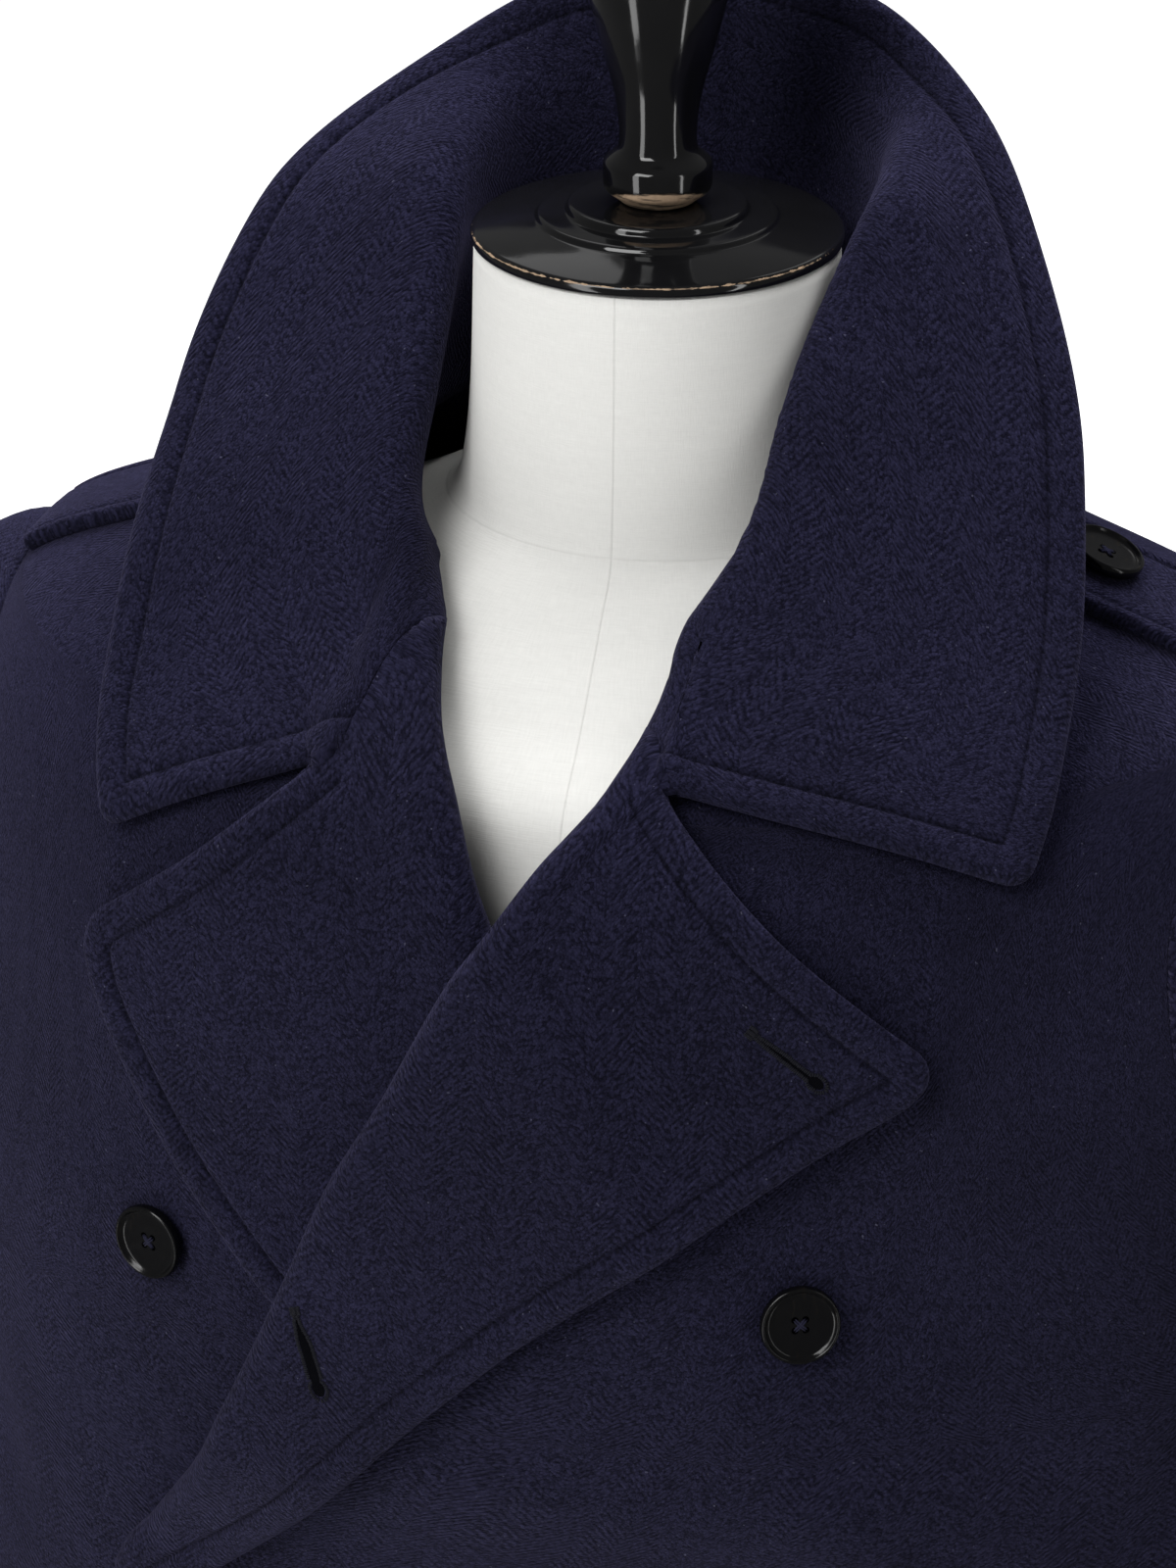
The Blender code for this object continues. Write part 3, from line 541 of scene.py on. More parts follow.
# %% Give a piece of cloth its place in the part
def dress(piece, material, node):
    """Gives one piece of cloth its material, hangs it on the root body and hides the solid it
    replaces.
    """
    piece.data.materials.append(material)
    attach(piece, "root")
    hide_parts(node)

# %% [markdown]
# ## Navy wool
# The cloth is woven in a herringbone: bands of slanting ribs that turn at every band.
# It was milled and brushed afterwards, so short hairs hide most of the ribs and give
# it a soft bloom at grazing angles. The pattern reads the piece's own flat map, in
# metres, so the ribs keep their real size and follow the cloth round every fold.

# %% Node helpers
def new_material(name, roughness, metallic=0.0):
    material = bpy.data.materials.new(name)
    material.use_nodes = True
    shader = material.node_tree.nodes["Principled BSDF"]
    shader.inputs["Roughness"].default_value = roughness
    shader.inputs["Metallic"].default_value = metallic
    return material, material.node_tree, shader


def node(tree, kind, inputs=(), **settings):
    """Adds a node; inputs are values or other nodes' outputs, by place or by name."""
    made = tree.nodes.new(kind)
    for key, value in settings.items():
        setattr(made, key, value)
    for key, value in dict(inputs).items():
        socket = made.inputs[key]
        if isinstance(value, bpy.types.NodeSocket):
            tree.links.new(value, socket)
        elif value is not None:
            socket.default_value = value
    return made


def sums(tree, operation, *values, clamp=False):
    made = node(tree, "ShaderNodeMath", enumerate(values), operation=operation)
    made.use_clamp = clamp
    return made.outputs[0]


def noise(tree, vector, scale, detail=2.0, roughness=0.5, distortion=0.0):
    made = node(tree, "ShaderNodeTexNoise", {
        "Vector": vector, "Scale": scale, "Detail": detail,
        "Roughness": roughness, "Distortion": distortion,
    })
    return made.outputs["Fac"]


def ramp(tree, factor, low, high, start=0.0, end=1.0):
    made = node(tree, "ShaderNodeMapRange", {
        "Value": factor, "From Min": start, "From Max": end, "To Min": low, "To Max": high,
    })
    return made.outputs["Result"]


def mixed(tree, factor, a, b, blend_type="MIX"):
    made = tree.nodes.new("ShaderNodeMix")
    made.data_type = "RGBA"
    made.blend_type = blend_type
    for socket, value in ((0, factor), (6, a), (7, b)):
        if isinstance(value, bpy.types.NodeSocket):
            tree.links.new(value, made.inputs[socket])
        else:
            made.inputs[socket].default_value = value
    return made.outputs[2]


def tinted(tree, colour, much):
    """The colour made lighter or darker by a number."""
    grey = node(tree, "ShaderNodeCombineColor", {0: much, 1: much, 2: much}).outputs[0]
    return mixed(tree, 1.0, colour, grey, "MULTIPLY")


def fine_line(tree, distance, wide):
    """1 on a line and 0 away from it, by distance from the line."""
    ratio = sums(tree, "DIVIDE", distance, wide)
    square = sums(tree, "MULTIPLY", ratio, ratio)
    return sums(tree, "EXPONENT", sums(tree, "MULTIPLY", square, -1.0))


def weighted(tree, *shares):
    """Several patterns added up, each times its share."""
    total = None
    for pattern, share in shares:
        part = sums(tree, "MULTIPLY", pattern, share)
        total = part if total is None else sums(tree, "ADD", total, part)
    return total


def scaled(tree, vector, scale):
    by = node(tree, "ShaderNodeVectorMath", {0: vector, 1: scale}, operation="MULTIPLY")
    return by.outputs[0]


# %% The wool
BAND = 12 * MM
RIB = 2.5 * MM
BIT_LONG, BIT_WIDE = 1.0 * MM, 0.75 * MM  # one bit of yarn that shows between two crossings
NAVY_DARK = (0.0026, 0.0025, 0.0070, 1)
NAVY_LIGHT = (0.0176, 0.0170, 0.0415, 1)
STITCH_WIDE_IN_CLOTH = 0.7 * MM
HAIR = (0.10, 0.10, 0.15, 1)


def make_wool(name, rib_strength=1.0, stitch_in=STITCH_IN):
    material, tree, shader = new_material(name, 0.92)
    flat = node(tree, "ShaderNodeUVMap", uv_map="cloth").outputs[0]
    place = node(tree, "ShaderNodeTexCoord").outputs["Object"]
    wander = node(tree, "ShaderNodeTexNoise", {"Vector": flat, "Scale": 90, "Detail": 2.0})
    shift = node(tree, "ShaderNodeVectorMath", {0: wander.outputs["Color"], 1: (0.5, 0.5, 0.5)},
                 operation="SUBTRACT").outputs[0]
    wandered = node(tree, "ShaderNodeVectorMath", {0: shift, 1: (0.0016, 0.0016, 0), 2: flat},
                    operation="MULTIPLY_ADD").outputs[0]
    split = node(tree, "ShaderNodeSeparateXYZ", {0: wandered})
    across, along = split.outputs[0], split.outputs[1]
    zigzag = sums(tree, "PINGPONG", across, BAND)
    climb = sums(tree, "ADD", along, zigzag)
    rib = sums(tree, "SINE", sums(tree, "MULTIPLY", climb, 2 * math.pi / RIB))
    drift = sums(tree, "SUBTRACT", along, zigzag)
    turn = node(tree, "ShaderNodeCombineXYZ", {
        0: sums(tree, "DIVIDE", drift, BIT_LONG * math.sqrt(2)),
        1: sums(tree, "DIVIDE", climb, BIT_WIDE * math.sqrt(2)),
        2: sums(tree, "MULTIPLY", sums(tree, "FLOOR", sums(tree, "DIVIDE", across, BAND)), 13.7),
    }).outputs[0]
    bits = node(tree, "ShaderNodeTexVoronoi", {"Vector": turn, "Scale": 1.0, "Randomness": 1.0})
    tone = node(tree, "ShaderNodeSeparateColor", {0: bits.outputs["Color"]}).outputs[0]
    crown = ramp(tree, bits.outputs["Distance"], 1.0, 0.0, 0.0, 0.75)
    nap = noise(tree, place, 1500, 2.5, 0.62)
    clump = noise(tree, place, 260, 3.0, 0.6)
    bare = ramp(tree, noise(tree, place, 26, 2.0), 0.0, 1.0, 0.38, 0.58)
    rib = sums(tree, "MULTIPLY", rib, bare)
    edge = node(tree, "ShaderNodeAttribute", attribute_name="edge").outputs["Fac"]
    line = fine_line(tree, sums(tree, "SUBTRACT", edge, stitch_in), STITCH_WIDE_IN_CLOTH)
    sunk = ramp(tree, noise(tree, place, 380, 0.0), 0.65, 1.0, 0.35, 0.6)
    stitch = sums(tree, "MULTIPLY", line, sunk)

    height = weighted(tree, (rib, 0.22 * rib_strength), (crown, 0.55), (tone, 0.30),
                      (nap, 0.40), (clump, 0.28))
    bump = node(tree, "ShaderNodeBump", {"Height": height, "Strength": 0.85, "Distance": 0.00055})
    tree.links.new(bump.outputs[0], shader.inputs["Normal"])

    # Partly painted shade: the colour darkens towards the edges of each yarn bit and into the rib
    # valleys, following the bump. The yarn's own random tone and the hairs make the rest.
    tone_and_painted_shade = weighted(tree, (tone, 0.42), (crown, 0.26), (nap, 0.32), (rib, 0.09 * rib_strength))
    colour = mixed(tree, ramp(tree, tone_and_painted_shade, 0, 1, 0.24, 0.88), NAVY_DARK, NAVY_LIGHT)
    patches = ramp(tree, noise(tree, place, 14, 3.0), 0.86, 1.12, 0.3, 0.7)
    colour = tinted(tree, colour, patches)
    # The stitch line is darkened. Part of this is the thread and its sunk stitches, and part is
    # painted shade of the groove they sit in.
    stitch_shade = sums(tree, "MULTIPLY", stitch, 0.55)
    colour = tinted(tree, colour, sums(tree, "SUBTRACT", 1.0, stitch_shade))
    fleck = ramp(tree, noise(tree, place, 900, 0.0), 0.0, 0.40, 0.845, 0.88)
    colour = mixed(tree, fleck, colour, HAIR)
    tree.links.new(colour, shader.inputs["Base Color"])
    shader.inputs["Specular IOR Level"].default_value = 0.06
    shader.inputs["Sheen Weight"].default_value = 0.13
    shader.inputs["Sheen Roughness"].default_value = 0.45
    shader.inputs["Sheen Tint"].default_value = (0.30, 0.28, 0.52, 1)
    return material


wool = make_wool("navy wool")
strap_wool = make_wool("navy wool of the straps", 0.6, 6 * MM)
print("materials:", wool.name, strap_wool.name)

# %% [markdown]
# ## Fronts and backs
# Four panels make the body. Where the coat is hung full, the lower cloth falls in
# long soft folds, uneven in depth, and a few short ones run from the armholes.

# %% Soft folds, drawn as strokes
Fold = namedtuple("Fold", "round z to_round to_z width depth")
BODY_FOLDS = {
    LEFT: (
        Fold(0.17, 1.00, 0.19, 0.74, 0.022, -0.0048), Fold(0.23, 1.08, 0.24, 0.74, 0.020, 0.0055),
        Fold(0.29, 1.07, 0.31, 0.74, 0.026, -0.0060), Fold(0.36, 1.04, 0.37, 0.74, 0.024, 0.0060),
        Fold(0.43, 1.09, 0.42, 0.74, 0.026, -0.0055), Fold(0.50, 1.07, 0.51, 0.74, 0.024, 0.0050),
        Fold(0.57, 1.08, 0.58, 0.74, 0.022, -0.0045), Fold(0.07, 1.00, 0.10, 0.74, 0.026, 0.0035),
        Fold(0.24, 1.24, 0.17, 1.14, 0.018, -0.0016),
        Fold(0.40, 1.33, 0.47, 1.22, 0.018, -0.0022), Fold(0.41, 1.27, 0.50, 1.15, 0.016, 0.0020),
    ),
    RIGHT: (
        Fold(0.16, 0.98, 0.17, 0.74, 0.024, 0.0042), Fold(0.23, 1.06, 0.24, 0.74, 0.022, -0.0055),
        Fold(0.28, 1.06, 0.30, 0.74, 0.022, 0.0055), Fold(0.35, 1.08, 0.37, 0.74, 0.026, -0.0060),
        Fold(0.42, 1.04, 0.43, 0.74, 0.024, 0.0055), Fold(0.49, 1.09, 0.49, 0.74, 0.024, -0.0050),
        Fold(0.56, 1.10, 0.57, 0.74, 0.022, 0.0045), Fold(0.24, 1.22, 0.18, 1.12, 0.018, -0.0016),
        Fold(0.39, 1.34, 0.46, 1.24, 0.018, -0.0024),
        Fold(0.42, 1.26, 0.51, 1.17, 0.016, 0.0018),
    ),
}
ROUND_SCALE = 0.20  # metres round the body for one radian


def fold_height(folds, across, z):
    """Troughs and ridges together, at one place on the cloth."""
    total = 0.0
    for fold in folds:
        way_x, way_z = fold.to_round - fold.round, fold.to_z - fold.z
        size = way_x * way_x + way_z * way_z
        t = ((across - fold.round) * way_x + (z - fold.z) * way_z) / size
        part = min(max(t, 0), 1)
        off = math.hypot(across - fold.round - part * way_x, z - fold.z - part * way_z)
        width = fold.width * (0.75 + 0.5 * part)
        total += fold.depth * ease(part * 2.2 + 0.05) * math.exp(-((off / width) ** 2))
    return total


# %% The armhole and the rows of a panel
ARMHOLE_BOTTOM, ARMHOLE_TOP = 2.75, 6.0
ARMHOLE_FRONT, ARMHOLE_BACK = math.radians(36), math.radians(31)
SIDE_SEAM = math.pi / 2
BODY_CLOTH = CLOTH + 0.6 * MM
SQUEEZED_FROM = 0.35  # part of the way across a panel where its columns start to give way


def armhole_reach(level, widest):
    middle, half = (ARMHOLE_BOTTOM + ARMHOLE_TOP) / 2, (ARMHOLE_TOP - ARMHOLE_BOTTOM) / 2
    off = (level - middle) / half
    return widest * math.sqrt(1 - off * off) if abs(off) < 1 else 0.0


def panel_levels():
    half = (ARMHOLE_TOP - ARMHOLE_BOTTOM) / 2
    armhole = [ARMHOLE_BOTTOM + half * (1 - math.cos(math.pi * i / 56)) for i in range(1, 56)]
    return spaced(0, ARMHOLE_BOTTOM, 104) + armhole + spaced(ARMHOLE_TOP, NECKLINE, 34)


def squeezed(part, reach):
    """Columns give way to the armhole only where they are near it."""
    return reach * max(part - SQUEEZED_FROM, 0) / (1 - SQUEEZED_FROM)


def panel_point(side, angle, level, lift=0.0):
    """A point of a panel with its folds, which die out towards the armhole."""
    point = on_coat(angle, level)
    by_armhole = ease((1.0 - abs(angle - SIDE_SEAM)) / 0.4)
    calm = 1 - by_armhole * (1 - ease((ARMHOLE_BOTTOM + 0.2 - level) / 0.5))
    fold = fold_height(BODY_FOLDS[side], angle * ROUND_SCALE, point.z) * calm
    return own_side(side, on_coat(angle, level, lift + fold))


print("a panel has", len(panel_levels()), "rows")


# %% Two fronts and two backs
def make_front(side):
    grid = []
    for level in panel_levels():
        inner = angle_at_out(roll_out(side, level), level)
        reach = armhole_reach(level, ARMHOLE_FRONT)
        seam = SIDE_SEAM - reach + 0.5 * GAP / ring_at(COAT, level).front
        row = []
        for part in spaced(0, 1, 78):
            angle = blend(inner, seam + reach, part) - squeezed(part, reach)
            out = skin(COAT, angle, level).x
            row.append(panel_point(side, angle, level, front_height(side, out, level)))
        grid.append(row)
    grid = rounded_corner(as_grid(grid), 6 * MM, (False, False))
    below = [i for i in range(len(grid)) if grid[i, 0][2] < on_roll_line(side, BREAK).z]
    edges = [np.concatenate([grid[0, ::-1], grid[below, 0]])]
    seams = [grid[below[-1]:, 0], grid[:, -1], grid[-1]]
    name = side_name("front_cloth", side)
    piece = cloth_piece(name, grid, BODY_CLOTH, edges, seams, much=0.75, facing=side)
    dress(piece, wool, side_name("front", side))
    return piece


def make_back(side):
    grid = []
    for level in panel_levels():
        ring = ring_at(COAT, level)
        reach = armhole_reach(level, ARMHOLE_BACK)
        first = SIDE_SEAM - 0.5 * GAP / ring.back
        centre = math.pi + angle_at_out(0.5 * GAP, level)
        row = []
        for part in spaced(0, 1, 60):
            angle = blend(first, centre, part) + squeezed(1 - part, reach)
            row.append(panel_point(side, angle, level))
        grid.append(row)
    grid = as_grid(grid)
    seams = [grid[:, 0], grid[:, -1], grid[-1]]
    name = side_name("back_cloth", side)
    piece = cloth_piece(name, grid, BODY_CLOTH, [grid[0]], seams, much=0.75, facing=side)
    dress(piece, wool, side_name("back", side))
    return piece


for side in (LEFT, RIGHT):
    make_front(side)
    make_back(side)

# %% [markdown]
# ## Sleeves
# A sleeve is a tube set into the armhole, fuller over the shoulder than at the cuff.
# With no arm inside it hangs straight, and creases where an elbow would be.

# %% The sleeve's rows and its folds
SleeveRow = namedtuple("SleeveRow", "inner_out inner_z outer_out outer_z middle_y half_depth")
SLEEVE_ROWS = (
    SleeveRow(0.2402, 1.207, 0.231, 1.4135, 0.000, 0.087),
    SleeveRow(0.2416, 1.196, 0.252, 1.399, 0.001, 0.091),
    SleeveRow(0.2425, 1.184, 0.272, 1.368, 0.002, 0.093),
    SleeveRow(0.2435, 1.168, 0.287, 1.325, 0.003, 0.092),
    SleeveRow(0.2445, 1.146, 0.297, 1.262, 0.004, 0.089),
    SleeveRow(0.2455, 1.112, 0.303, 1.190, 0.005, 0.086),
    SleeveRow(0.2475, 1.066, 0.308, 1.114, 0.005, 0.082),
    SleeveRow(0.2505, 1.010, 0.312, 1.036, 0.002, 0.078),
    SleeveRow(0.2550, 0.945, 0.316, 0.958, -0.004, 0.073),
    SleeveRow(0.2600, 0.880, 0.319, 0.886, -0.012, 0.068),
    SleeveRow(0.2640, 0.820, 0.321, 0.820, -0.019, 0.065),
)
# Strokes on the sleeve: round it from the front (0) over the outside (0.14) to the back.
SLEEVE_FOLDS = {
    LEFT: (
        Fold(0.02, 1.13, 0.12, 1.06, 0.012, -0.0045), Fold(-0.02, 1.09, 0.09, 1.01, 0.012, 0.0040),
        Fold(0.00, 1.03, 0.10, 0.98, 0.011, -0.0035), Fold(0.20, 1.22, 0.26, 0.98, 0.016, -0.0040),
        Fold(0.08, 1.30, 0.10, 1.14, 0.020, 0.0030), Fold(0.18, 0.99, 0.15, 0.86, 0.014, -0.0028),
        Fold(0.02, 1.24, 0.03, 1.14, 0.016, -0.0030), Fold(0.24, 1.08, 0.20, 1.02, 0.012, 0.0034),
    ),
    RIGHT: (
        Fold(0.03, 1.10, 0.13, 1.04, 0.012, -0.0042), Fold(0.00, 1.06, 0.10, 0.99, 0.012, 0.0038),
        Fold(0.01, 1.16, 0.08, 1.12, 0.010, -0.0030), Fold(0.21, 1.20, 0.25, 0.95, 0.016, -0.0038),
        Fold(0.10, 1.32, 0.11, 1.16, 0.020, 0.0032), Fold(0.17, 0.96, 0.14, 0.85, 0.014, -0.0026),
        Fold(0.24, 1.12, 0.19, 1.05, 0.012, 0.0030), Fold(0.03, 0.97, 0.06, 0.87, 0.014, -0.0024),
    ),
}
SLEEVE_START = -math.pi / 2  # the sleeve's own seam is under the arm
SLEEVE_RADIUS = 0.09
FARTHEST_BACK = 0.45  # places past this are before the front, and count as negative
print("folds on the sleeves:", [len(folds) for folds in SLEEVE_FOLDS.values()])


# %% Two sleeves
def armhole_point(turn):
    middle, half = (ARMHOLE_BOTTOM + ARMHOLE_TOP) / 2, (ARMHOLE_TOP - ARMHOLE_BOTTOM) / 2
    level = middle + half * math.sin(turn)
    widest = ARMHOLE_FRONT if math.cos(turn) > 0 else ARMHOLE_BACK
    return on_coat(math.pi / 2 - widest * math.cos(turn), level, 0.4 * MM)


def make_sleeve(side):
    turns = [SLEEVE_START + t for t in spaced(0, 2 * math.pi, 72)]
    grid = [[own_side(side, armhole_point(turn)) for turn in turns]]
    for row in SLEEVE_ROWS:
        inner = Vector((row.inner_out, row.middle_y, row.inner_z))
        outer = Vector((row.outer_out, row.middle_y, row.outer_z))
        ring = []
        for turn in turns:
            along = (1 + signed_power(math.sin(turn), 0.92)) / 2
            point = blend(inner, outer, along)
            point.y -= row.half_depth * signed_power(math.cos(turn), 0.96)
            ring.append(own_side(side, point))
        grid.append(ring)
    grid = even_grid(grid[::-1], 5.4 * MM)
    rows, columns = grid.shape[:2]
    round_way = np.roll(grid[:, :-1], -1, axis=1) - np.roll(grid[:, :-1], 1, axis=1)
    up_way = np.gradient(grid[:, :-1], axis=0)
    normal = np.cross(round_way, up_way) * side
    normal /= np.linalg.norm(normal, axis=2)[:, :, None]
    centre = grid[:, :-1].mean(axis=1)[:, None]
    outward = np.sign(((grid[:, :-1] - centre) * normal).sum(axis=2).mean())
    for i in range(rows):
        calm = ease((rows - 1 - i) / (rows * 0.22))
        for j in range(columns - 1):
            turn = SLEEVE_START + 2 * math.pi * j / (columns - 1)
            across = (turn % (2 * math.pi)) * SLEEVE_RADIUS
            if across > FARTHEST_BACK:
                across -= 2 * math.pi * SLEEVE_RADIUS
            lift = fold_height(SLEEVE_FOLDS[side], across, grid[i, j][2]) * calm
            grid[i, j] += normal[i, j] * lift * outward
    grid[:, -1] = grid[:, 0]
    name = side_name("sleeve_cloth", side)
    piece = cloth_piece(name, grid, BODY_CLOTH, [grid[0]], [grid[-1]], tube=True, much=0.5,
                        facing=side)
    dress(piece, wool, side_name("sleeve", side))
    return piece


for side in (LEFT, RIGHT):
    make_sleeve(side)

# %% [markdown]
# ## Lapels
# A lapel is the front's own edge, turned out along the roll line and lying back on
# the chest. It starts round the fold, so the fold has its true thickness, and its top
# edge is sewn to the collar as far as the notch and free from there to the point.

# %% The lapel's outer edge, and its measures
LapelRow = namedtuple("LapelRow", "level edge_out edge_z")
LAPEL_ROWS = {
    LEFT: (
        LapelRow(2.20, -0.1245, 1.104),
        LapelRow(2.35, -0.094, 1.132),
        LapelRow(2.60, -0.058, 1.168),
        LapelRow(3.00, -0.012, 1.221),
        LapelRow(3.50, 0.037, 1.266),
        LapelRow(4.00, 0.076, 1.296),
        LapelRow(4.50, 0.106, 1.317),
        LapelRow(5.20, 0.127, 1.331),
        LapelRow(6.70, 0.136, 1.342),
    ),
    RIGHT: (
        LapelRow(2.75, -0.060, 1.196),
        LapelRow(3.00, -0.015, 1.203),
        LapelRow(3.30, 0.030, 1.214),
        LapelRow(3.70, 0.067, 1.234),
        LapelRow(4.10, 0.090, 1.259),
        LapelRow(4.50, 0.110, 1.286),
        LapelRow(5.00, 0.125, 1.312),
        LapelRow(5.80, 0.135, 1.333),
        LapelRow(7.50, 0.139, 1.350),
    ),
}
NOTCH = {LEFT: (0.046, 1.407), RIGHT: (0.0635, 1.405)}
LAPEL_TOP_LEVELS = 2.0
POINT_ROUND = 11 * MM
CURL_ROOM = 7 * MM  # from the roll line to where the lapel lies flat
ROLL_CLIMB = 11 * MM  # the slanting gorge climbs on by this much as it goes round the roll


print("the notches lie", [round(place[0], 4) for place in NOTCH.values()], "m out")


# %% Two lapels
def tent(part, peak):
    return part / peak if part < peak else (1 - part) / (1 - peak)


def roll_top(gorge):
    """Where the gorge goes over the roll's outer edge."""
    return gorge[int(np.argmin(np.abs(lengths_along(gorge) - math.pi * 0.5 * LAPEL_ROLL)))]


def make_lapel(side):
    rows = LAPEL_ROWS[side]
    bottom, highest = rows[0].level, rows[-1].level
    notch = Vector(NOTCH[side])
    top_out = roll_out(side, highest)
    notch_part = (notch.x - top_out) / (rows[-1].edge_out - top_out)
    grid = []
    for level in spaced(bottom, highest, 70):
        row = table_at(rows, level, [row.level for row in rows])
        out = roll_out(side, level)
        start = on_roll_line(side, level)
        along = (on_roll_line(side, level + 0.05) - start).normalized()
        roll_place = Vector((out, start.z))
        edge_place = Vector((row.edge_out, row.edge_z))
        wide = max((edge_place - roll_place).length, 1 * MM)
        parts = spaced(min(max(notch_part, CURL_ROOM / wide), 0.35), 1, 28)
        away = on_front(side, *blend(roll_place, edge_place, 0.1)) - start
        away = (away - along * away.dot(along)).normalized()
        normal = away.cross(along) * side
        line = []
        top = ease((level - highest) / LAPEL_TOP_LEVELS + 1)
        for turn in spaced(0, math.pi * 0.9, 9):
            back = away * (-LAPEL_SEAM - LAPEL_ROLL * math.sin(turn))
            climb = along * (ROLL_CLIMB * top * (1 - turn / math.pi))
            line.append(start + back + climb + normal * (LAPEL_ROLL * (1 - math.cos(turn))))
        dip = notch - blend(roll_place, edge_place, notch_part)
        rest = CLOTH / 2 + FOLDED_CLOTH / 2 + LAPEL_LIE[side]
        for part in parts:
            at = blend(roll_place, edge_place, part) + dip * tent(part, notch_part) * top
            height = blend(2 * LAPEL_ROLL, rest, ease(part * 1.15))
            line.append(on_front(side, at.x, at.y, height))
        grid.append(line)
    grid = rounded_corner(even_grid(grid, 3.1 * MM), POINT_ROUND, (True, True))
    at_notch = np.array(on_front(side, *NOTCH[side], 2 * LAPEL_ROLL))
    k = int(np.argmin(np.linalg.norm(grid[-1] - at_notch, axis=1)))
    way = grid[-1, k] - grid[-1, k + 6]
    way /= np.linalg.norm(way)
    beyond = grid[-1, k] + way * 30 * MM
    edges = [np.concatenate([[beyond], grid[-1, k:], grid[::-1, -1]])]
    seams = [grid[-1, :k + 1], grid[:, 0], grid[0]]
    unrolled = np.array([lengths_along(row[:, :2]) for row in grid])
    unrolled += side * grid[:, -1:, 0] - unrolled[:, -1:]
    grain = np.stack([unrolled, grid[:, :, 2]], axis=2)
    stop = (grid[-1, k] + way * 1.5 * MM, way)
    piece = cloth_piece(side_name("lapel_cloth", side), grid, FOLDED_CLOTH, edges, seams,
                        grain=grain, stops=[stop], flush=[roll_top(grid[-1])], facing=side)
    dress(piece, wool, side_name("lapel", side))
    return piece, grid[-1, :k + 1]


lapels, gorges = {}, {}
for side in (LEFT, RIGHT):
    lapels[side], gorges[side] = make_lapel(side)

# %% [markdown]
# ## Collar
# One wide piece goes round the neck. It stands up from the neckline seam, folds over
# and falls outside. Behind, the fall hardly lies down at all: the whole collar is
# turned up and frames the cap. At each front it drops to the notch.

# %% The collar's lines, from the centre back to each front
CollarRow = namedtuple(
    "CollarRow", "seam_angle seam_level fold_out fold_y fold_z edge_out edge_y edge_z"
)
COLLAR_ROWS = {
    LEFT: (
        CollarRow(180, 8, 0.000, 0.082, 1.560, 0.000, 0.094, 1.607),
        CollarRow(155, 8, 0.034, 0.074, 1.560, 0.044, 0.082, 1.602),
        CollarRow(125, 8, 0.064, 0.044, 1.561, 0.090, 0.056, 1.577),
        CollarRow(95, 8, 0.068, 0.010, 1.556, 0.120, 0.020, 1.543),
        CollarRow(70, 8, 0.061, -0.024, 1.524, 0.147, -0.030, 1.497),
        CollarRow(50, 8, 0.056, -0.060, 1.480, 0.159, -0.078, 1.447),
        CollarRow(34.3, 8, 0.046, -0.094, 1.450, 0.161, -0.110, 1.418),
        CollarRow(25, 6.82, 0.0402, -0.1201, 1.4275, 0.158, -0.131, 1.395),
    ),
    RIGHT: (
        CollarRow(180, 8, 0.000, 0.082, 1.560, 0.000, 0.094, 1.607),
        CollarRow(155, 8, 0.034, 0.074, 1.560, 0.050, 0.080, 1.601),
        CollarRow(125, 8, 0.066, 0.044, 1.560, 0.100, 0.056, 1.573),
        CollarRow(95, 8, 0.071, 0.010, 1.552, 0.138, 0.014, 1.537),
        CollarRow(70, 8, 0.069, -0.024, 1.520, 0.151, -0.030, 1.488),
        CollarRow(52, 8, 0.0695, -0.056, 1.484, 0.150, -0.078, 1.452),
        CollarRow(41.5, 8, 0.061, -0.076, 1.463, 0.147, -0.112, 1.416),
        CollarRow(30, 7.62, 0.0490, -0.0900, 1.4440, 0.135, -0.144, 1.380),
    ),
}
print("lines across each half of the collar:", len(COLLAR_ROWS[LEFT]))

# %% The collar's measures
STAND_STEPS, FALL_STEPS = 8, 22
COLLAR_LINES = 44
COLLAR_END_ROWS = 1.4
COLLAR_FULL_STAND = 0.04
GORGE_ROWS = 0.9  # lines over which the collar's end meets the lapel's top
COLLAR_POINT_ROUND = 8 * MM
COLLAR_END_LIFT = 3.5 * MM  # the collar's ends are so stiff that they stand off the chest
NOTCH_PARTING = 3 * MM
SEAM_TUCK = 3.4 * MM  # how far the collar runs on over the lapel where their seam is pressed flat
STRAP_WIDTH, STRAP_CENTRE = 0.05, -0.003
STRAP_COLLAR_OUT, STRAP_CLEARANCE = 0.105, 0.012
UP = Vector((0, 0, 1))
print(f"the collar's ends stand {COLLAR_END_LIFT / MM} mm further off the chest")


# %% One line across the collar
def hermite(a, a_way, b, b_way, t):
    return (
        a * (2 * t**3 - 3 * t**2 + 1)
        + a_way * (t**3 - 2 * t**2 + t)
        + b * (3 * t**2 - 2 * t**3)
        + b_way * (t**3 - t**2)
    )


def collar_line(side, place):
    """One line across the collar, from its seam over the fold to the free edge."""
    row = table_at(COLLAR_ROWS[side], place)
    level = row.seam_level
    angle = math.radians(row.seam_angle)
    if level < NECKLINE:
        angle = angle_at_out(roll_out(side, level), level)
    rise = UP.lerp(skin_normal(angle, level), ease((NECKLINE - level) * 2))
    lift = blend(-1.2 * MM, CLOTH / 2 + 5 * GAP, ease((NECKLINE - level) * 2))
    seam = skin(COAT, angle, level) + rise * lift
    fold = Vector((row.fold_out, row.fold_y, row.fold_z))
    edge = Vector((row.edge_out, row.edge_y, row.edge_z))
    over = (edge - seam) * 0.5 * min((fold - seam).length / COLLAR_FULL_STAND, 1)
    stand = [hermite(seam, (fold - seam) * 1.1, fold, over, t) for t in spaced(0, 1, STAND_STEPS)]
    last = (edge - fold) * 0.9
    return stand + [hermite(fold, over, edge, last, t) for t in spaced(0, 1, FALL_STEPS)[1:]]


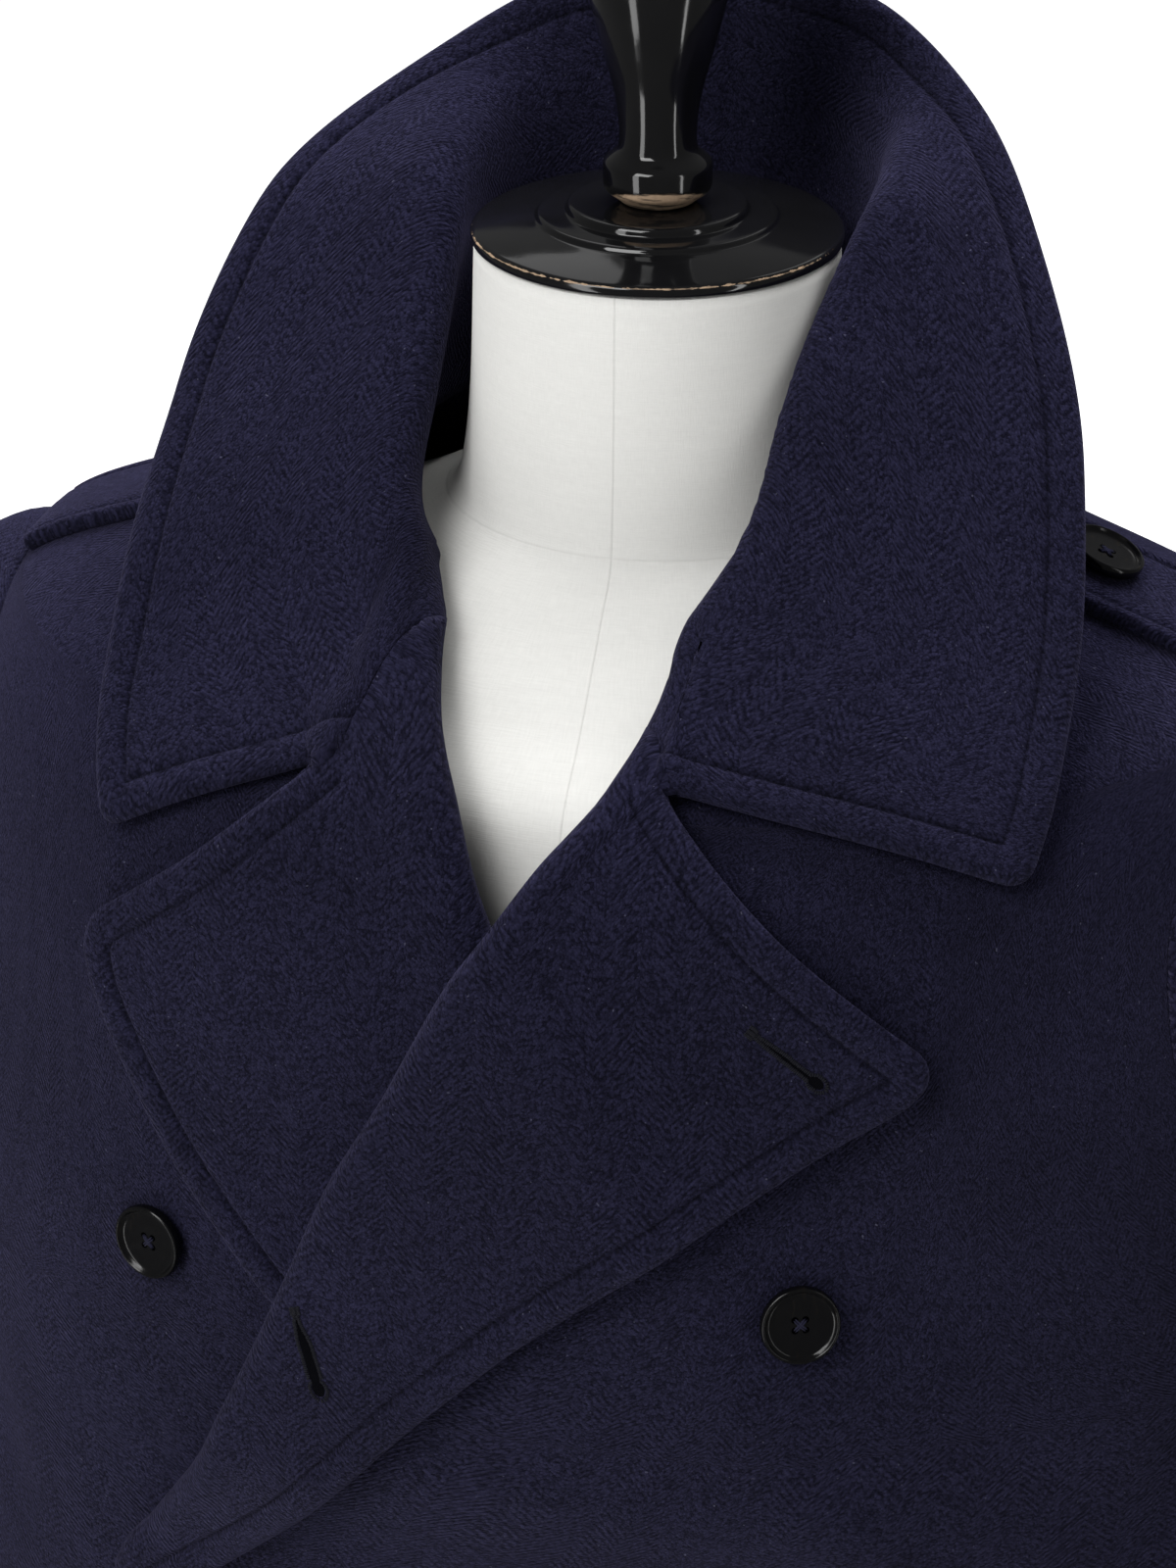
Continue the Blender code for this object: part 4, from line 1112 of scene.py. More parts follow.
# %% Keep the collar off the coat and the straps
def nearest_on_coat(point):
    """Angle and level of the skin nearest to a point on the wearer's left."""
    best = min(
        ((skin(COAT, math.radians(15 * i), j * 0.75) - point).length_squared, i, j)
        for i in range(13)
        for j in range(4, 11)
    )
    angle, level = math.radians(15 * best[1]), best[2] * 0.75
    step_angle, step_level = math.radians(7.5), 0.4
    for _ in range(9):
        tries = [
            (angle + step_angle * i, min(level + step_level * j, float(NECKLINE)))
            for i in (-1, 0, 1)
            for j in (-1, 0, 1)
        ]
        angle, level = min(tries, key=lambda t: (skin(COAT, *t) - point).length_squared)
        step_angle, step_level = step_angle / 2, step_level / 2
    return angle, level


def kept_off_coat(point, least):
    """The point, moved out where it would lie less than this far off the skin."""
    angle, level = nearest_on_coat(point)
    normal = skin_normal(angle, level)
    short = least - (point - skin(COAT, angle, level)).dot(normal)
    if short <= 0 or level > NECKLINE - 0.05:
        return point
    return point + normal * short


def least_off_coat(point):
    least = CLOTH / 2 + FOLDED_CLOTH / 2 + 3 * GAP
    beside = (STRAP_WIDTH / 2 + STRAP_CLEARANCE - abs(point.y - STRAP_CENTRE)) / STRAP_CLEARANCE
    out = (point.x - STRAP_COLLAR_OUT + 0.006) / 0.006
    return least + (FOLDED_CLOTH + GAP) * ease(beside) * ease(out)


# %% Fit the collar's ends to the notches
def smoothed(field, times, axis):
    """Softens a field of moves along one way of the grid, ends kept."""
    field = np.moveaxis(field.copy(), axis, 0)
    for _ in range(times):
        field[1:-1] = (field[:-2] + 2 * field[1:-1] + field[2:]) / 4
    return np.moveaxis(field, 0, axis)


def dipped_to_notch(side, line, much):
    """The collar's end drops to the notch between its fold and its point."""
    notch = own_side(side, on_front(side, *NOTCH[side], 2 * LAPEL_ROLL)) + UP * NOTCH_PARTING
    fall = line[STAND_STEPS:]
    outs = [point.x for point in fall]
    peak = (notch.x - outs[0]) / (outs[-1] - outs[0])
    there = Vector(curve_through(outs, column, notch.x) for column in zip(*fall))
    for point in fall:
        part = (point.x - outs[0]) / (outs[-1] - outs[0])
        point += (notch - there) * tent(min(max(part, 0), 1), peak) * much
    return line[:STAND_STEPS] + fall


# %% The collar
def make_collar():
    halves = {}
    for side in (LEFT, RIGHT):
        raw, moves, near_end = [], [], []
        last = len(COLLAR_ROWS[side]) - 1
        for place in spaced(0, last, COLLAR_LINES):
            line = collar_line(side, place)
            much = ease((place - last) / COLLAR_END_ROWS + 1)
            if much > 0:
                line = dipped_to_notch(side, line, much)
            raised = COLLAR_END_LIFT * ease((place - last) / COLLAR_END_ROWS + 1)
            lifted = line[:5] + [kept_off_coat(p, least_off_coat(p) + raised) for p in line[5:]]
            raw.append(line)
            moves.append([b - a for a, b in zip(line, lifted)])
            near_end.append(ease((place - last) / GORGE_ROWS + 1))
        raw = as_grid(raw)
        lifted = raw + smoothed(smoothed(as_grid(moves), 5, 0), 3, 1)
        gorge = gorges[side] * (side, 1, 1)
        at_notch = int(np.argmin(np.linalg.norm(raw[-1] - gorge[-1], axis=1)))
        far = lengths_along(gorge)
        even = np.linspace(0, far[-1], at_notch + 1)
        target = smooth_line(far, gorge, even)
        for j, past_roll in enumerate(even - math.pi * 0.5 * LAPEL_ROLL):
            onward = lifted[-1, j] - lifted[-3, j]
            tuck = SEAM_TUCK * ease(1 - (past_roll - 2 * MM) / (18 * MM))
            target[j] += onward / np.linalg.norm(onward) * tuck
        to_gorge = np.zeros_like(raw[-1])
        to_gorge[:at_notch + 1] = target - lifted[-1, :at_notch + 1]
        for j in range(at_notch + 1, len(to_gorge)):
            to_gorge[j] = to_gorge[at_notch] * ease(1 - (j - at_notch) / 16)
        lifted += np.array(near_end)[:, None, None] * to_gorge
        halves[side] = lifted * (side, 1, 1)
    grid = even_grid(np.concatenate([halves[LEFT][:0:-1], halves[RIGHT]]), 3.6 * MM)
    for corner in ((False, True), (True, True)):
        grid = rounded_corner(grid, COLLAR_POINT_ROUND, corner)
    ends = {LEFT: grid[0], RIGHT: grid[-1]}
    free = {}
    for side, line in ends.items():
        free[side] = int(np.argmin(np.linalg.norm(line - gorges[side][-1], axis=1)))
    edge = [ends[LEFT][free[LEFT]:], grid[1:-1, -1], ends[RIGHT][free[RIGHT]:][::-1]]
    edge = np.concatenate(edge)
    edge = edge[3:-3]
    first, final = edge[0] + (edge[0] - edge[12]), edge[-1] + (edge[-1] - edge[-13])
    edges = [np.concatenate([[first], edge, [final]])]
    seams = [grid[:, 0], ends[LEFT][:free[LEFT]], ends[RIGHT][:free[RIGHT]]]
    flush = [roll_top(gorges[side]) for side in (LEFT, RIGHT)]
    piece = cloth_piece("collar_cloth", grid, FOLDED_CLOTH, edges, seams, flush=flush)
    dress(piece, wool, "collar")


make_collar()

# %% [markdown]
# ## Shoulder straps and pocket welts
# Each strap is caught in the sleeve seam and buttons down at its pointed end, which
# the collar covers. The welts stiffen the mouths of two slanted side pockets.

# %% Straps
STRAP_LEVELS = (6.04, 7.40)
STRAP_POINT = 0.28
STRAP_STITCH_IN = 6 * MM


def strap_point(side, level, across, height):
    y = STRAP_CENTRE + across * STRAP_WIDTH / 2
    return own_side(side, on_coat(angle_at_y(y, level), level, height))


def make_strap(side):
    height = CLOTH / 2 + FOLDED_CLOTH / 2 + GAP
    grid = []
    for part in spaced(0, 1, 40):
        narrow = blend(1, STRAP_POINT, ease((part - 0.8) / 0.2) ** 1.5)
        level = blend(*STRAP_LEVELS, part)
        grid.append([strap_point(side, level, s * narrow, height) for s in spaced(-1, 1, 16)])
    grid = even_grid(grid, 2.9 * MM)
    edges = [np.concatenate([grid[:, 0], grid[-1], grid[::-1, -1]])]
    piece = cloth_piece(side_name("strap_cloth", side), grid, FOLDED_CLOTH - GAP, edges, [grid[0]],
                        stitch_in=STRAP_STITCH_IN, much=0.7, round_edge=2.4 * MM)
    dress(piece, strap_wool, side_name("epaulette", side))


# %% Welts
POCKET_TOP, POCKET_BOTTOM = Vector((0.150, 1.050)), Vector((0.172, 0.900))
POCKET_WIDTH = 0.032


def make_welt(side):
    across = Vector((POCKET_TOP.y - POCKET_BOTTOM.y, POCKET_BOTTOM.x - POCKET_TOP.x))
    across = across.normalized() * POCKET_WIDTH
    grid = []
    for along in spaced(0, 1, 60):
        edge = blend(POCKET_BOTTOM, POCKET_TOP, along)
        row = []
        for part in spaced(0, 1, 12):
            at = edge + across * part
            level = level_at(at.x, at.y)
            angle = angle_at_out(at.x, level)
            height = front_height(side, at.x, level) + CLOTH + 1.2 * MM
            row.append(panel_point(side, angle, level, height))
        grid.append(row)
    grid = even_grid(grid, 3.1 * MM)
    edges = [np.concatenate([grid[0], grid[1:-1, -1], grid[-1, ::-1], grid[1:-1, 0][::-1]])]
    piece = cloth_piece(side_name("welt_cloth", side), grid, CLOTH, edges, [],
                        stitch_in=STRAP_STITCH_IN, much=0.5, round_edge=1.6 * MM)
    dress(piece, strap_wool, side_name("pocket_welt", side))


for side in (LEFT, RIGHT):
    make_strap(side)
for side in (LEFT, RIGHT):
    make_welt(side)

# %% [markdown]
# ## The dress form
# The body inside the coat is moulded board with a cover of fine cream linen pulled
# tight over it. A plain tube is drawn up ring by ring, and each ring is then pushed
# out to the form's own measure at that height. The cover's two seams, one down the
# centre front and one round the base of the neck, are only fine lines, so the
# material makes them.

# %% A tube drawn up ring by ring
def deselect_all():
    bpy.ops.object.select_all(action="DESELECT")


def turned(name, profile, sides, smooth_levels=0):
    """A turned piece, drawn from its bottom to its top; both ends are closed."""
    deselect_all()
    radius, z = profile[0]
    bpy.ops.mesh.primitive_circle_add(
        vertices=sides, radius=radius, fill_type="TRIFAN", location=(0, 0, z)
    )
    piece = bpy.context.object
    piece.name = name
    bpy.ops.object.transform_apply(location=True)
    bpy.ops.object.mode_set(mode="EDIT")
    bpy.ops.mesh.select_all(action="SELECT")
    for next_radius, next_z in profile[1:]:
        bpy.ops.mesh.extrude_region_move(TRANSFORM_OT_translate={"value": (0, 0, next_z - z)})
        grown = next_radius / radius
        if abs(grown - 1) > 1e-6:
            bpy.ops.transform.resize(value=(grown, grown, 1), center_override=(0, 0, next_z))
        radius, z = next_radius, next_z
    bpy.ops.mesh.select_all(action="SELECT")
    bpy.ops.mesh.normals_make_consistent(inside=False)
    bpy.ops.object.mode_set(mode="OBJECT")
    if smooth_levels:
        rounder = piece.modifiers.new("rounder", "SUBSURF")
        rounder.levels = rounder.render_levels = smooth_levels
        bpy.ops.object.modifier_apply(modifier=rounder.name)
    bpy.ops.object.shade_smooth()
    return piece


def stands_for(piece, material, node):
    piece.data.materials.clear()
    piece.data.materials.append(material)
    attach(piece, "root")
    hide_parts(node)
    print(piece.name, "has", len(piece.data.polygons), "faces")
    return piece


# %% The form's rings, and its linen
FORM_BOTTOM = 0.80
FORM = (
    Ring(FORM_BOTTOM, FORM_BOTTOM, FORM_BOTTOM, 0.155, 0.104, 0.112, 1.0),
    Ring(0.900, 0.900, 0.900, 0.184, 0.120, 0.130, 0.97),
    Ring(1.060, 1.060, 1.060, 0.158, 0.114, 0.100, 0.97),
    Ring(1.240, 1.240, 1.240, 0.190, 0.142, 0.108, 0.95),
    Ring(1.325, 1.328, 1.326, 0.194, 0.142, 0.112, 0.94),
    Ring(1.390, 1.398, 1.398, 0.180, 0.130, 0.098, 0.95),
    Ring(1.416, 1.430, 1.436, 0.130, 0.102, 0.080, 0.98),
    Ring(1.440, 1.449, 1.455, 0.086, 0.077, 0.068, 1.0),
    Ring(1.457, 1.462, 1.466, 0.0640, 0.0620, 0.0625, 1.0),
    Ring(1.496, 1.498, 1.500, 0.0592, 0.0592, 0.0590, 1.0),
    Ring(1.5415, 1.5415, 1.5415, 0.0580, 0.0580, 0.0580, 1.0),
)
FORM_TALL, FORM_ROWS, FORM_SIDES = 0.74, 110, 96
NECK_SEAM_Z = 1.457
FRONT_SEAM_TURN = math.radians(4.5)  # the form stands turned a little on its pole
LINEN_SHADE, LINEN_LIGHT = (0.645, 0.641, 0.618, 1), (0.695, 0.691, 0.667, 1)


def make_linen():
    material, tree, shader = new_material("cream linen", 0.88)
    place = node(tree, "ShaderNodeTexCoord").outputs["Object"]
    split = node(tree, "ShaderNodeSeparateXYZ", {0: place})
    x, y, z = split.outputs
    x_square, y_square = sums(tree, "MULTIPLY", x, x), sums(tree, "MULTIPLY", y, y)
    away = sums(tree, "SQRT", sums(tree, "ADD", x_square, y_square))
    round_body = sums(tree, "ARCTAN2", x, sums(tree, "MULTIPLY", y, -1.0))
    across = sums(tree, "MULTIPLY", round_body, 0.06)
    threads = node(tree, "ShaderNodeCombineXYZ", {0: sums(tree, "MULTIPLY", across, 260.0),
                                                  1: sums(tree, "MULTIPLY", z, 2600.0)}).outputs[0]
    warps = node(tree, "ShaderNodeCombineXYZ", {0: sums(tree, "MULTIPLY", across, 2600.0),
                                                1: sums(tree, "MULTIPLY", z, 260.0)}).outputs[0]
    weave = sums(tree, "ADD", noise(tree, threads, 1.0, 1.0), noise(tree, warps, 1.0, 1.0))
    slub = noise(tree, threads, 0.18, 2.0)

    from_front = sums(tree, "MULTIPLY", sums(tree, "SUBTRACT", round_body, FRONT_SEAM_TURN), away)
    front_line = fine_line(tree, from_front, 0.35 * MM)
    neck_line = fine_line(tree, sums(tree, "SUBTRACT", z, NECK_SEAM_Z), 0.40 * MM)
    neck_line = sums(tree, "MULTIPLY", neck_line, 0.55)
    line = sums(tree, "MAXIMUM", front_line, neck_line)
    height = weighted(tree, (weave, 0.5), (line, -1.4))
    bump = node(tree, "ShaderNodeBump", {"Height": height, "Strength": 0.35, "Distance": 0.00035})
    tree.links.new(bump.outputs[0], shader.inputs["Normal"])
    colour = mixed(tree, ramp(tree, weave, 0, 1, 0.6, 1.4), LINEN_SHADE, LINEN_LIGHT)
    colour = tinted(tree, colour, ramp(tree, slub, 0.985, 1.01, 0.3, 0.7))
    colour = tinted(tree, colour, ramp(tree, noise(tree, place, 9, 3.0), 0.97, 1.01, 0.3, 0.7))
    colour = tinted(tree, colour, sums(tree, "SUBTRACT", 1.0, sums(tree, "MULTIPLY", line, 0.10)))
    tree.links.new(colour, shader.inputs["Base Color"])
    shader.inputs["Specular IOR Level"].default_value = 0.15
    shader.inputs["Sheen Weight"].default_value = 0.08
    return material


# %% Draw up the form
TUBE_RADIUS = 0.1


def make_form():
    levels = spaced(0, len(FORM) - 1, FORM_ROWS)
    heights = [FORM_BOTTOM + FORM_TALL * i / FORM_ROWS for i in range(FORM_ROWS + 1)]
    form = turned("form_in_linen", [(TUBE_RADIUS, z) for z in heights], FORM_SIDES)
    for vertex in form.data.vertices:
        i = round((vertex.co.z - FORM_BOTTOM) / FORM_TALL * FORM_ROWS)
        if math.hypot(vertex.co.x, vertex.co.y) < TUBE_RADIUS / 2:
            vertex.co = (0, 0, skin(FORM, 0, levels[i]).z)
            continue
        vertex.co = skin(FORM, math.atan2(vertex.co.x, -vertex.co.y), levels[i])
    form.data.update()
    return stands_for(form, make_linen(), "form_torso")


make_form()

# %% [markdown]
# ## Cap, handle and stand
# These are turned wood and steel. On a lathe each is one outline cut all round, so
# each is drawn the same way and then smoothed. The lacquer is thick and very glossy,
# and has chipped to bare wood along the cap's rim and round the handle's foot.

# %% Lacquer and steel
CAP_Z = 1.545
CAP_RISE = 9.4 * MM
HANDLE_Z = CAP_Z + CAP_RISE + GAP


def make_lacquer(name, chips):
    """chips are worn bands: lowest, highest, from and to what turn, how ragged, and how
    much higher the band lies at its middle."""
    material, tree, shader = new_material(name, 0.10)
    place = node(tree, "ShaderNodeTexCoord").outputs["Object"]
    split = node(tree, "ShaderNodeSeparateXYZ", {0: place})
    x, y, z = split.outputs
    specks = noise(tree, place, 700, 2.0)
    smear = noise(tree, place, 35, 3.0, 0.6)
    height = weighted(tree, (noise(tree, place, 60, 2.0), 1.0), (specks, 0.05))
    turn = sums(tree, "ARCTAN2", x, sums(tree, "MULTIPLY", y, -1.0))
    worn = 0.0
    ragged = noise(tree, place, 300, 3.0, 0.65)
    for low, high, start, end, much, rise in chips:
        middle, half = (low + high) / 2, (high - low) / 2
        uneven = sums(tree, "SUBTRACT", ragged, 0.5)
        from_middle = sums(tree, "SUBTRACT", turn, math.radians((start + end) / 2))
        risen = sums(tree, "MULTIPLY", sums(tree, "COSINE", from_middle), rise)
        middle = sums(tree, "ADD", risen, middle)
        off = sums(tree, "DIVIDE", sums(tree, "ABSOLUTE", sums(tree, "SUBTRACT", z, middle)), half)
        off = sums(tree, "ADD", off, sums(tree, "MULTIPLY", uneven, much))
        band = ramp(tree, off, 1.0, 0.0, 0.96, 1.04)
        half_turn = math.radians((end - start) / 2)
        off_turn = sums(tree, "ABSOLUTE", from_middle)
        off_turn = sums(tree, "ADD", off_turn, sums(tree, "MULTIPLY", uneven, 0.9))
        there = ramp(tree, off_turn, 1.0, 0.0, half_turn - 0.06, half_turn + 0.06)
        worn = sums(tree, "MAXIMUM", worn, sums(tree, "MULTIPLY", band, there))
    grain = noise(tree, scaled(tree, place, (1500, 1500, 120)), 0.35, 3.0)
    wood = mixed(tree, grain, (0.16, 0.105, 0.065, 1), (0.46, 0.33, 0.22, 1))
    streaks = noise(tree, scaled(tree, place, (110, 110, 900)), 1.0, 3.0, 0.6)
    wood = tinted(tree, wood, ramp(tree, streaks, 1.0, 0.22, 0.50, 0.60))
    black = mixed(tree, smear, (0.0020, 0.0020, 0.0022, 1), (0.0050, 0.0050, 0.0056, 1))
    if chips:
        tree.links.new(mixed(tree, worn, black, wood), shader.inputs["Base Color"])
        gloss = ramp(tree, smear, 0.05, 0.13, 0.3, 0.7)
        rough = sums(tree, "MAXIMUM", gloss, sums(tree, "MULTIPLY", worn, 0.75))
        tree.links.new(rough, shader.inputs["Roughness"])
        height = sums(tree, "SUBTRACT", height, sums(tree, "MULTIPLY", worn, 2.2))
    else:
        tree.links.new(black, shader.inputs["Base Color"])
        tree.links.new(ramp(tree, smear, 0.06, 0.16, 0.3, 0.7), shader.inputs["Roughness"])
    bump = node(tree, "ShaderNodeBump", {"Height": height, "Strength": 0.18, "Distance": 0.0004})
    tree.links.new(bump.outputs[0], shader.inputs["Normal"])
    shader.inputs["Specular IOR Level"].default_value = 0.45
    return material


def make_steel():
    material, tree, shader = new_material("black painted steel", 0.4, 0.3)
    place = node(tree, "ShaderNodeTexCoord").outputs["Object"]
    grit = noise(tree, place, 1400, 2.0)
    smear = noise(tree, place, 18, 3.0)
    colour = mixed(tree, smear, (0.010, 0.010, 0.011, 1), (0.019, 0.019, 0.020, 1))
    tree.links.new(colour, shader.inputs["Base Color"])
    tree.links.new(ramp(tree, smear, 0.34, 0.48, 0.3, 0.7), shader.inputs["Roughness"])
    bump = node(tree, "ShaderNodeBump", {"Height": grit, "Strength": 0.2, "Distance": 0.0002})
    tree.links.new(bump.outputs[0], shader.inputs["Normal"])
    return material


# %% The four outlines
CAP = (
    (0.0560, -0.0030), (0.0578, -0.0030), (0.0588, -0.0026), (0.0592, -0.0014), (0.0592, -0.0004),
    (0.0589, 0.0005), (0.0580, 0.0011), (0.0570, 0.0014), (0.0480, 0.0032), (0.0395, 0.0043),
    (0.0388, 0.0044), (0.0383, 0.0050), (0.0380, 0.0058), (0.0372, 0.0061), (0.0362, 0.0062),
    (0.0298, 0.0066), (0.0291, 0.0068), (0.0289, 0.0076), (0.0286, 0.0086), (0.0280, 0.0092),
    (0.0268, CAP_RISE), (0.0200, CAP_RISE),
)
HANDLE = (
    (0.0110, 0), (0.0119, 0.0001), (0.0131, 0.0014), (0.0158, 0.0032), (0.0171, 0.0044),
    (0.0174, 0.0058), (0.0174, 0.0116), (0.0172, 0.0130), (0.0159, 0.0143), (0.0131, 0.0164),
    (0.0125, 0.0178), (0.0123, 0.0200), (0.0123, 0.0240), (0.0128, 0.0290), (0.0139, 0.0359),
    (0.0167, 0.0460), (0.0198, 0.0575), (0.0226, 0.0690), (0.0248, 0.0810), (0.0260, 0.0940),
    (0.0246, 0.1056), (0.0200, 0.1136), (0.0120, 0.1186), (0.0082, 0.1208), (0.0082, 0.1216),
    (0.0100, 0.1246), (0.0095, 0.1286), (0.0060, 0.1318), (0.0030, 0.1325),
)
POLE_RADIUS, BASE_RADIUS, BASE_THICK = 0.014, 0.215, 0.024
POLE_TOP, POLE_FOOT = FORM_BOTTOM - GAP, BASE_THICK + GAP
POLE = (
    (0.033, POLE_FOOT), (0.034, POLE_FOOT + 0.001), (0.034, POLE_FOOT + 0.005),
    (0.033, POLE_FOOT + 0.007), (0.022, POLE_FOOT + 0.040), (0.0145, POLE_FOOT + 0.058),
    (POLE_RADIUS, POLE_FOOT + 0.062), (POLE_RADIUS, POLE_TOP - 0.017),
    (0.0145, POLE_TOP - 0.0155), (0.029, POLE_TOP - 0.0125), (0.030, POLE_TOP - 0.011),
    (0.030, POLE_TOP - 0.001), (0.029, POLE_TOP),
)
BASE = (
    (0.211, 0), (0.2135, 0.0004), (BASE_RADIUS, 0.0024), (BASE_RADIUS, BASE_THICK - 0.0125),
    (0.2142, BASE_THICK - 0.0108), (BASE_RADIUS - 0.008, BASE_THICK - 0.006),
    (0.165, BASE_THICK - 0.0003), (0.160, BASE_THICK), (0.10, BASE_THICK),
)


def lifted(profile, z):
    return [(radius, height + z) for radius, height in profile]


print("the cap is", 2 * max(radius for radius, _ in CAP), "m across")

# %% Turn the cap, the handle, the pole and the base
plain_lacquer = make_lacquer("black lacquer of the base", ())
cap_lacquer = make_lacquer("black lacquer of the cap", (
    (CAP_Z + 0.0003, CAP_Z + 0.0006, -62, 78, 9.0, 0.0),
))
handle_lacquer = make_lacquer("black lacquer of the handle", (
    (HANDLE_Z - 0.0150, HANDLE_Z + 0.0012, -64, 104, 0.16, 0.0060),
))
cap = turned("cap_turned", lifted(CAP, CAP_Z), 60, 2)
stands_for(cap, cap_lacquer, "neck_cap")
handle = turned("handle_turned", lifted(HANDLE, HANDLE_Z), 40, 2)
stands_for(handle, handle_lacquer, "finial")
stands_for(turned("pole_turned", POLE, 32, 2), make_steel(), "stand_pole")
stands_for(turned("base_turned", BASE, 56, 2), plain_lacquer, "stand_base")

# %% [markdown]
# ## Buttons
# Eight black horn buttons, 25 mm across, each dished with a raised rim and four holes
# in a square. One is turned and drilled, and the rest are copies of it, each laid on
# the cloth where the solid model has one. Navy thread crosses between the holes.

# %% The button's outline, and horn and thread
BUTTON_HIGH = 4.6 * MM
HOLE_RADIUS, HOLE_SPREAD = 1.1 * MM, 2.4 * MM
BUTTON = (
    (0.0104, 0), (0.0109, 0.0001), (0.0121, 0.0008), (0.0126, 0.0018), (0.0127, 0.0024),
    (0.01265, 0.0035), (0.0124, 0.0042), (0.0120, 0.00455), (0.0117, 0.0046), (0.0114, 0.00445),
    (0.0111, 0.0040), (0.0104, 0.0033), (0.0099, 0.0031), (0.0092, 0.0030),
)


def make_horn():
    material, tree, shader = new_material("black horn", 0.14)
    place = node(tree, "ShaderNodeTexCoord").outputs["Object"]
    streaks = scaled(tree, place, (700, 240, 90))
    streak = ramp(tree, noise(tree, streaks, 1.0, 3.0, 0.6, 0.4), 0, 1, 0.60, 0.80)
    smear = noise(tree, place, 300, 3.0)
    colour = mixed(tree, streak, (0.0022, 0.0022, 0.0026, 1), (0.009, 0.007, 0.005, 1))
    tree.links.new(colour, shader.inputs["Base Color"])
    tree.links.new(ramp(tree, smear, 0.10, 0.24, 0.3, 0.7), shader.inputs["Roughness"])
    bump = node(tree, "ShaderNodeBump", {"Height": smear, "Strength": 0.08, "Distance": 0.0003})
    tree.links.new(bump.outputs[0], shader.inputs["Normal"])
    shader.inputs["Specular IOR Level"].default_value = 0.25
    return material


def make_thread(name, dark, light):
    material, tree, shader = new_material(name, 0.8)
    place = node(tree, "ShaderNodeTexCoord").outputs["Object"]
    ply = noise(tree, place, 2600, 2.0)
    tree.links.new(mixed(tree, ply, dark, light), shader.inputs["Base Color"])
    bump = node(tree, "ShaderNodeBump", {"Height": ply, "Strength": 0.4, "Distance": 0.0002})
    tree.links.new(bump.outputs[0], shader.inputs["Normal"])
    shader.inputs["Sheen Weight"].default_value = 0.03
    shader.inputs["Specular IOR Level"].default_value = 0.12
    return material


print("the button is", 2 * max(radius for radius, _ in BUTTON), "m across")


# %% One button and one strand of thread
def first_button():
    button = turned("button_pattern", BUTTON, 48, 1)
    for i in range(4):
        turn = math.pi / 2 * (i + 0.5)
        deselect_all()
        bpy.ops.mesh.primitive_cylinder_add(
            vertices=20, radius=HOLE_RADIUS, depth=4 * BUTTON_HIGH,
            location=(HOLE_SPREAD * math.cos(turn), HOLE_SPREAD * math.sin(turn), 0),
        )
        drill = bpy.context.object
        drilled = button.modifiers.new("drilled", "BOOLEAN")
        drilled.object, drilled.operation = drill, "DIFFERENCE"
        deselect_all()
        button.select_set(True)
        bpy.context.view_layer.objects.active = button
        bpy.ops.object.modifier_apply(modifier=drilled.name)
        bpy.data.objects.remove(drill)
    bpy.ops.object.shade_smooth_by_angle(angle=math.radians(32))
    return button


def thread_strand(long, wide, high):
    """One strand of thread, as a long bead that dips into the cloth at both ends."""
    deselect_all()
    bpy.ops.mesh.primitive_uv_sphere_add(segments=8, ring_count=6, radius=1)
    strand = bpy.context.object
    bpy.ops.transform.resize(value=(long / 2, wide / 2, high / 2), center_override=(0, 0, 0))
    bpy.ops.object.transform_apply(scale=True)
    bpy.ops.object.shade_smooth()
    return strand


def copy_of(pattern, name, matrix):
    """A copy with its own mesh, moved there with its origin left where it was."""
    piece = pattern.copy()
    piece.data = pattern.data.copy()
    piece.name = name
    piece.data.transform(matrix)
    bpy.context.scene.collection.objects.link(piece)
    return piece


def joined(pieces, name):
    deselect_all()
    for piece in pieces:
        piece.select_set(True)
    bpy.context.view_layer.objects.active = pieces[0]
    bpy.ops.object.join()
    pieces[0].name = name
    return pieces[0]


# %% The patterns that all eight are copied from
horn = make_horn()
button_thread = make_thread("navy thread", (0.004, 0.004, 0.012, 1), (0.016, 0.016, 0.038, 1))
button_pattern = first_button()
strand = thread_strand(2 * HOLE_SPREAD + 0.9 * MM, 0.75 * MM, 1.1 * MM)
DISH_HIGH, STRAND_OFF = 3.1 * MM, 0.35 * MM
crossing = []
for quarter in (45, 135):
    for off in (-STRAND_OFF, STRAND_OFF):
        turned = Matrix.Rotation(math.radians(quarter), 4, "Z")
        place = Matrix.Translation((0, 0, DISH_HIGH)) @ turned @ Matrix.Translation((0, off, 0))
        crossing.append(copy_of(strand, "thread", place))
thread_pattern = joined(crossing, "thread_pattern")
bpy.data.objects.remove(strand)
print("one button has", len(button_pattern.data.polygons), "faces")

# %% Eight buttons
BUTTON_ROWS = (1.252, 1.092, 0.932)
BUTTON_OUT = {LEFT: 0.097, RIGHT: 0.117}
BUTTON_RISE = {LEFT: 7 * MM, RIGHT: -7 * MM}
STRAP_BUTTON_LEVEL = 7.03


def sew_on(name, at, normal, top):
    across = top.cross(normal).normalized()
    turn = Matrix((across, normal.cross(across), normal)).transposed().to_4x4()
    matrix = Matrix.Translation(at) @ turn
    stands_for(copy_of(button_pattern, f"{name}_horn", matrix), horn, name)
    thread = copy_of(thread_pattern, f"{name}_thread", matrix)
    thread.data.materials.append(button_thread)
    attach(thread, "root")
    low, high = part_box(name)
    middle = (Vector(low) + Vector(high)) / 2
    away = (at + normal * BUTTON_HIGH / 2 - middle).length
    print(f"{name} lies {away / MM:.2f} mm from its place")


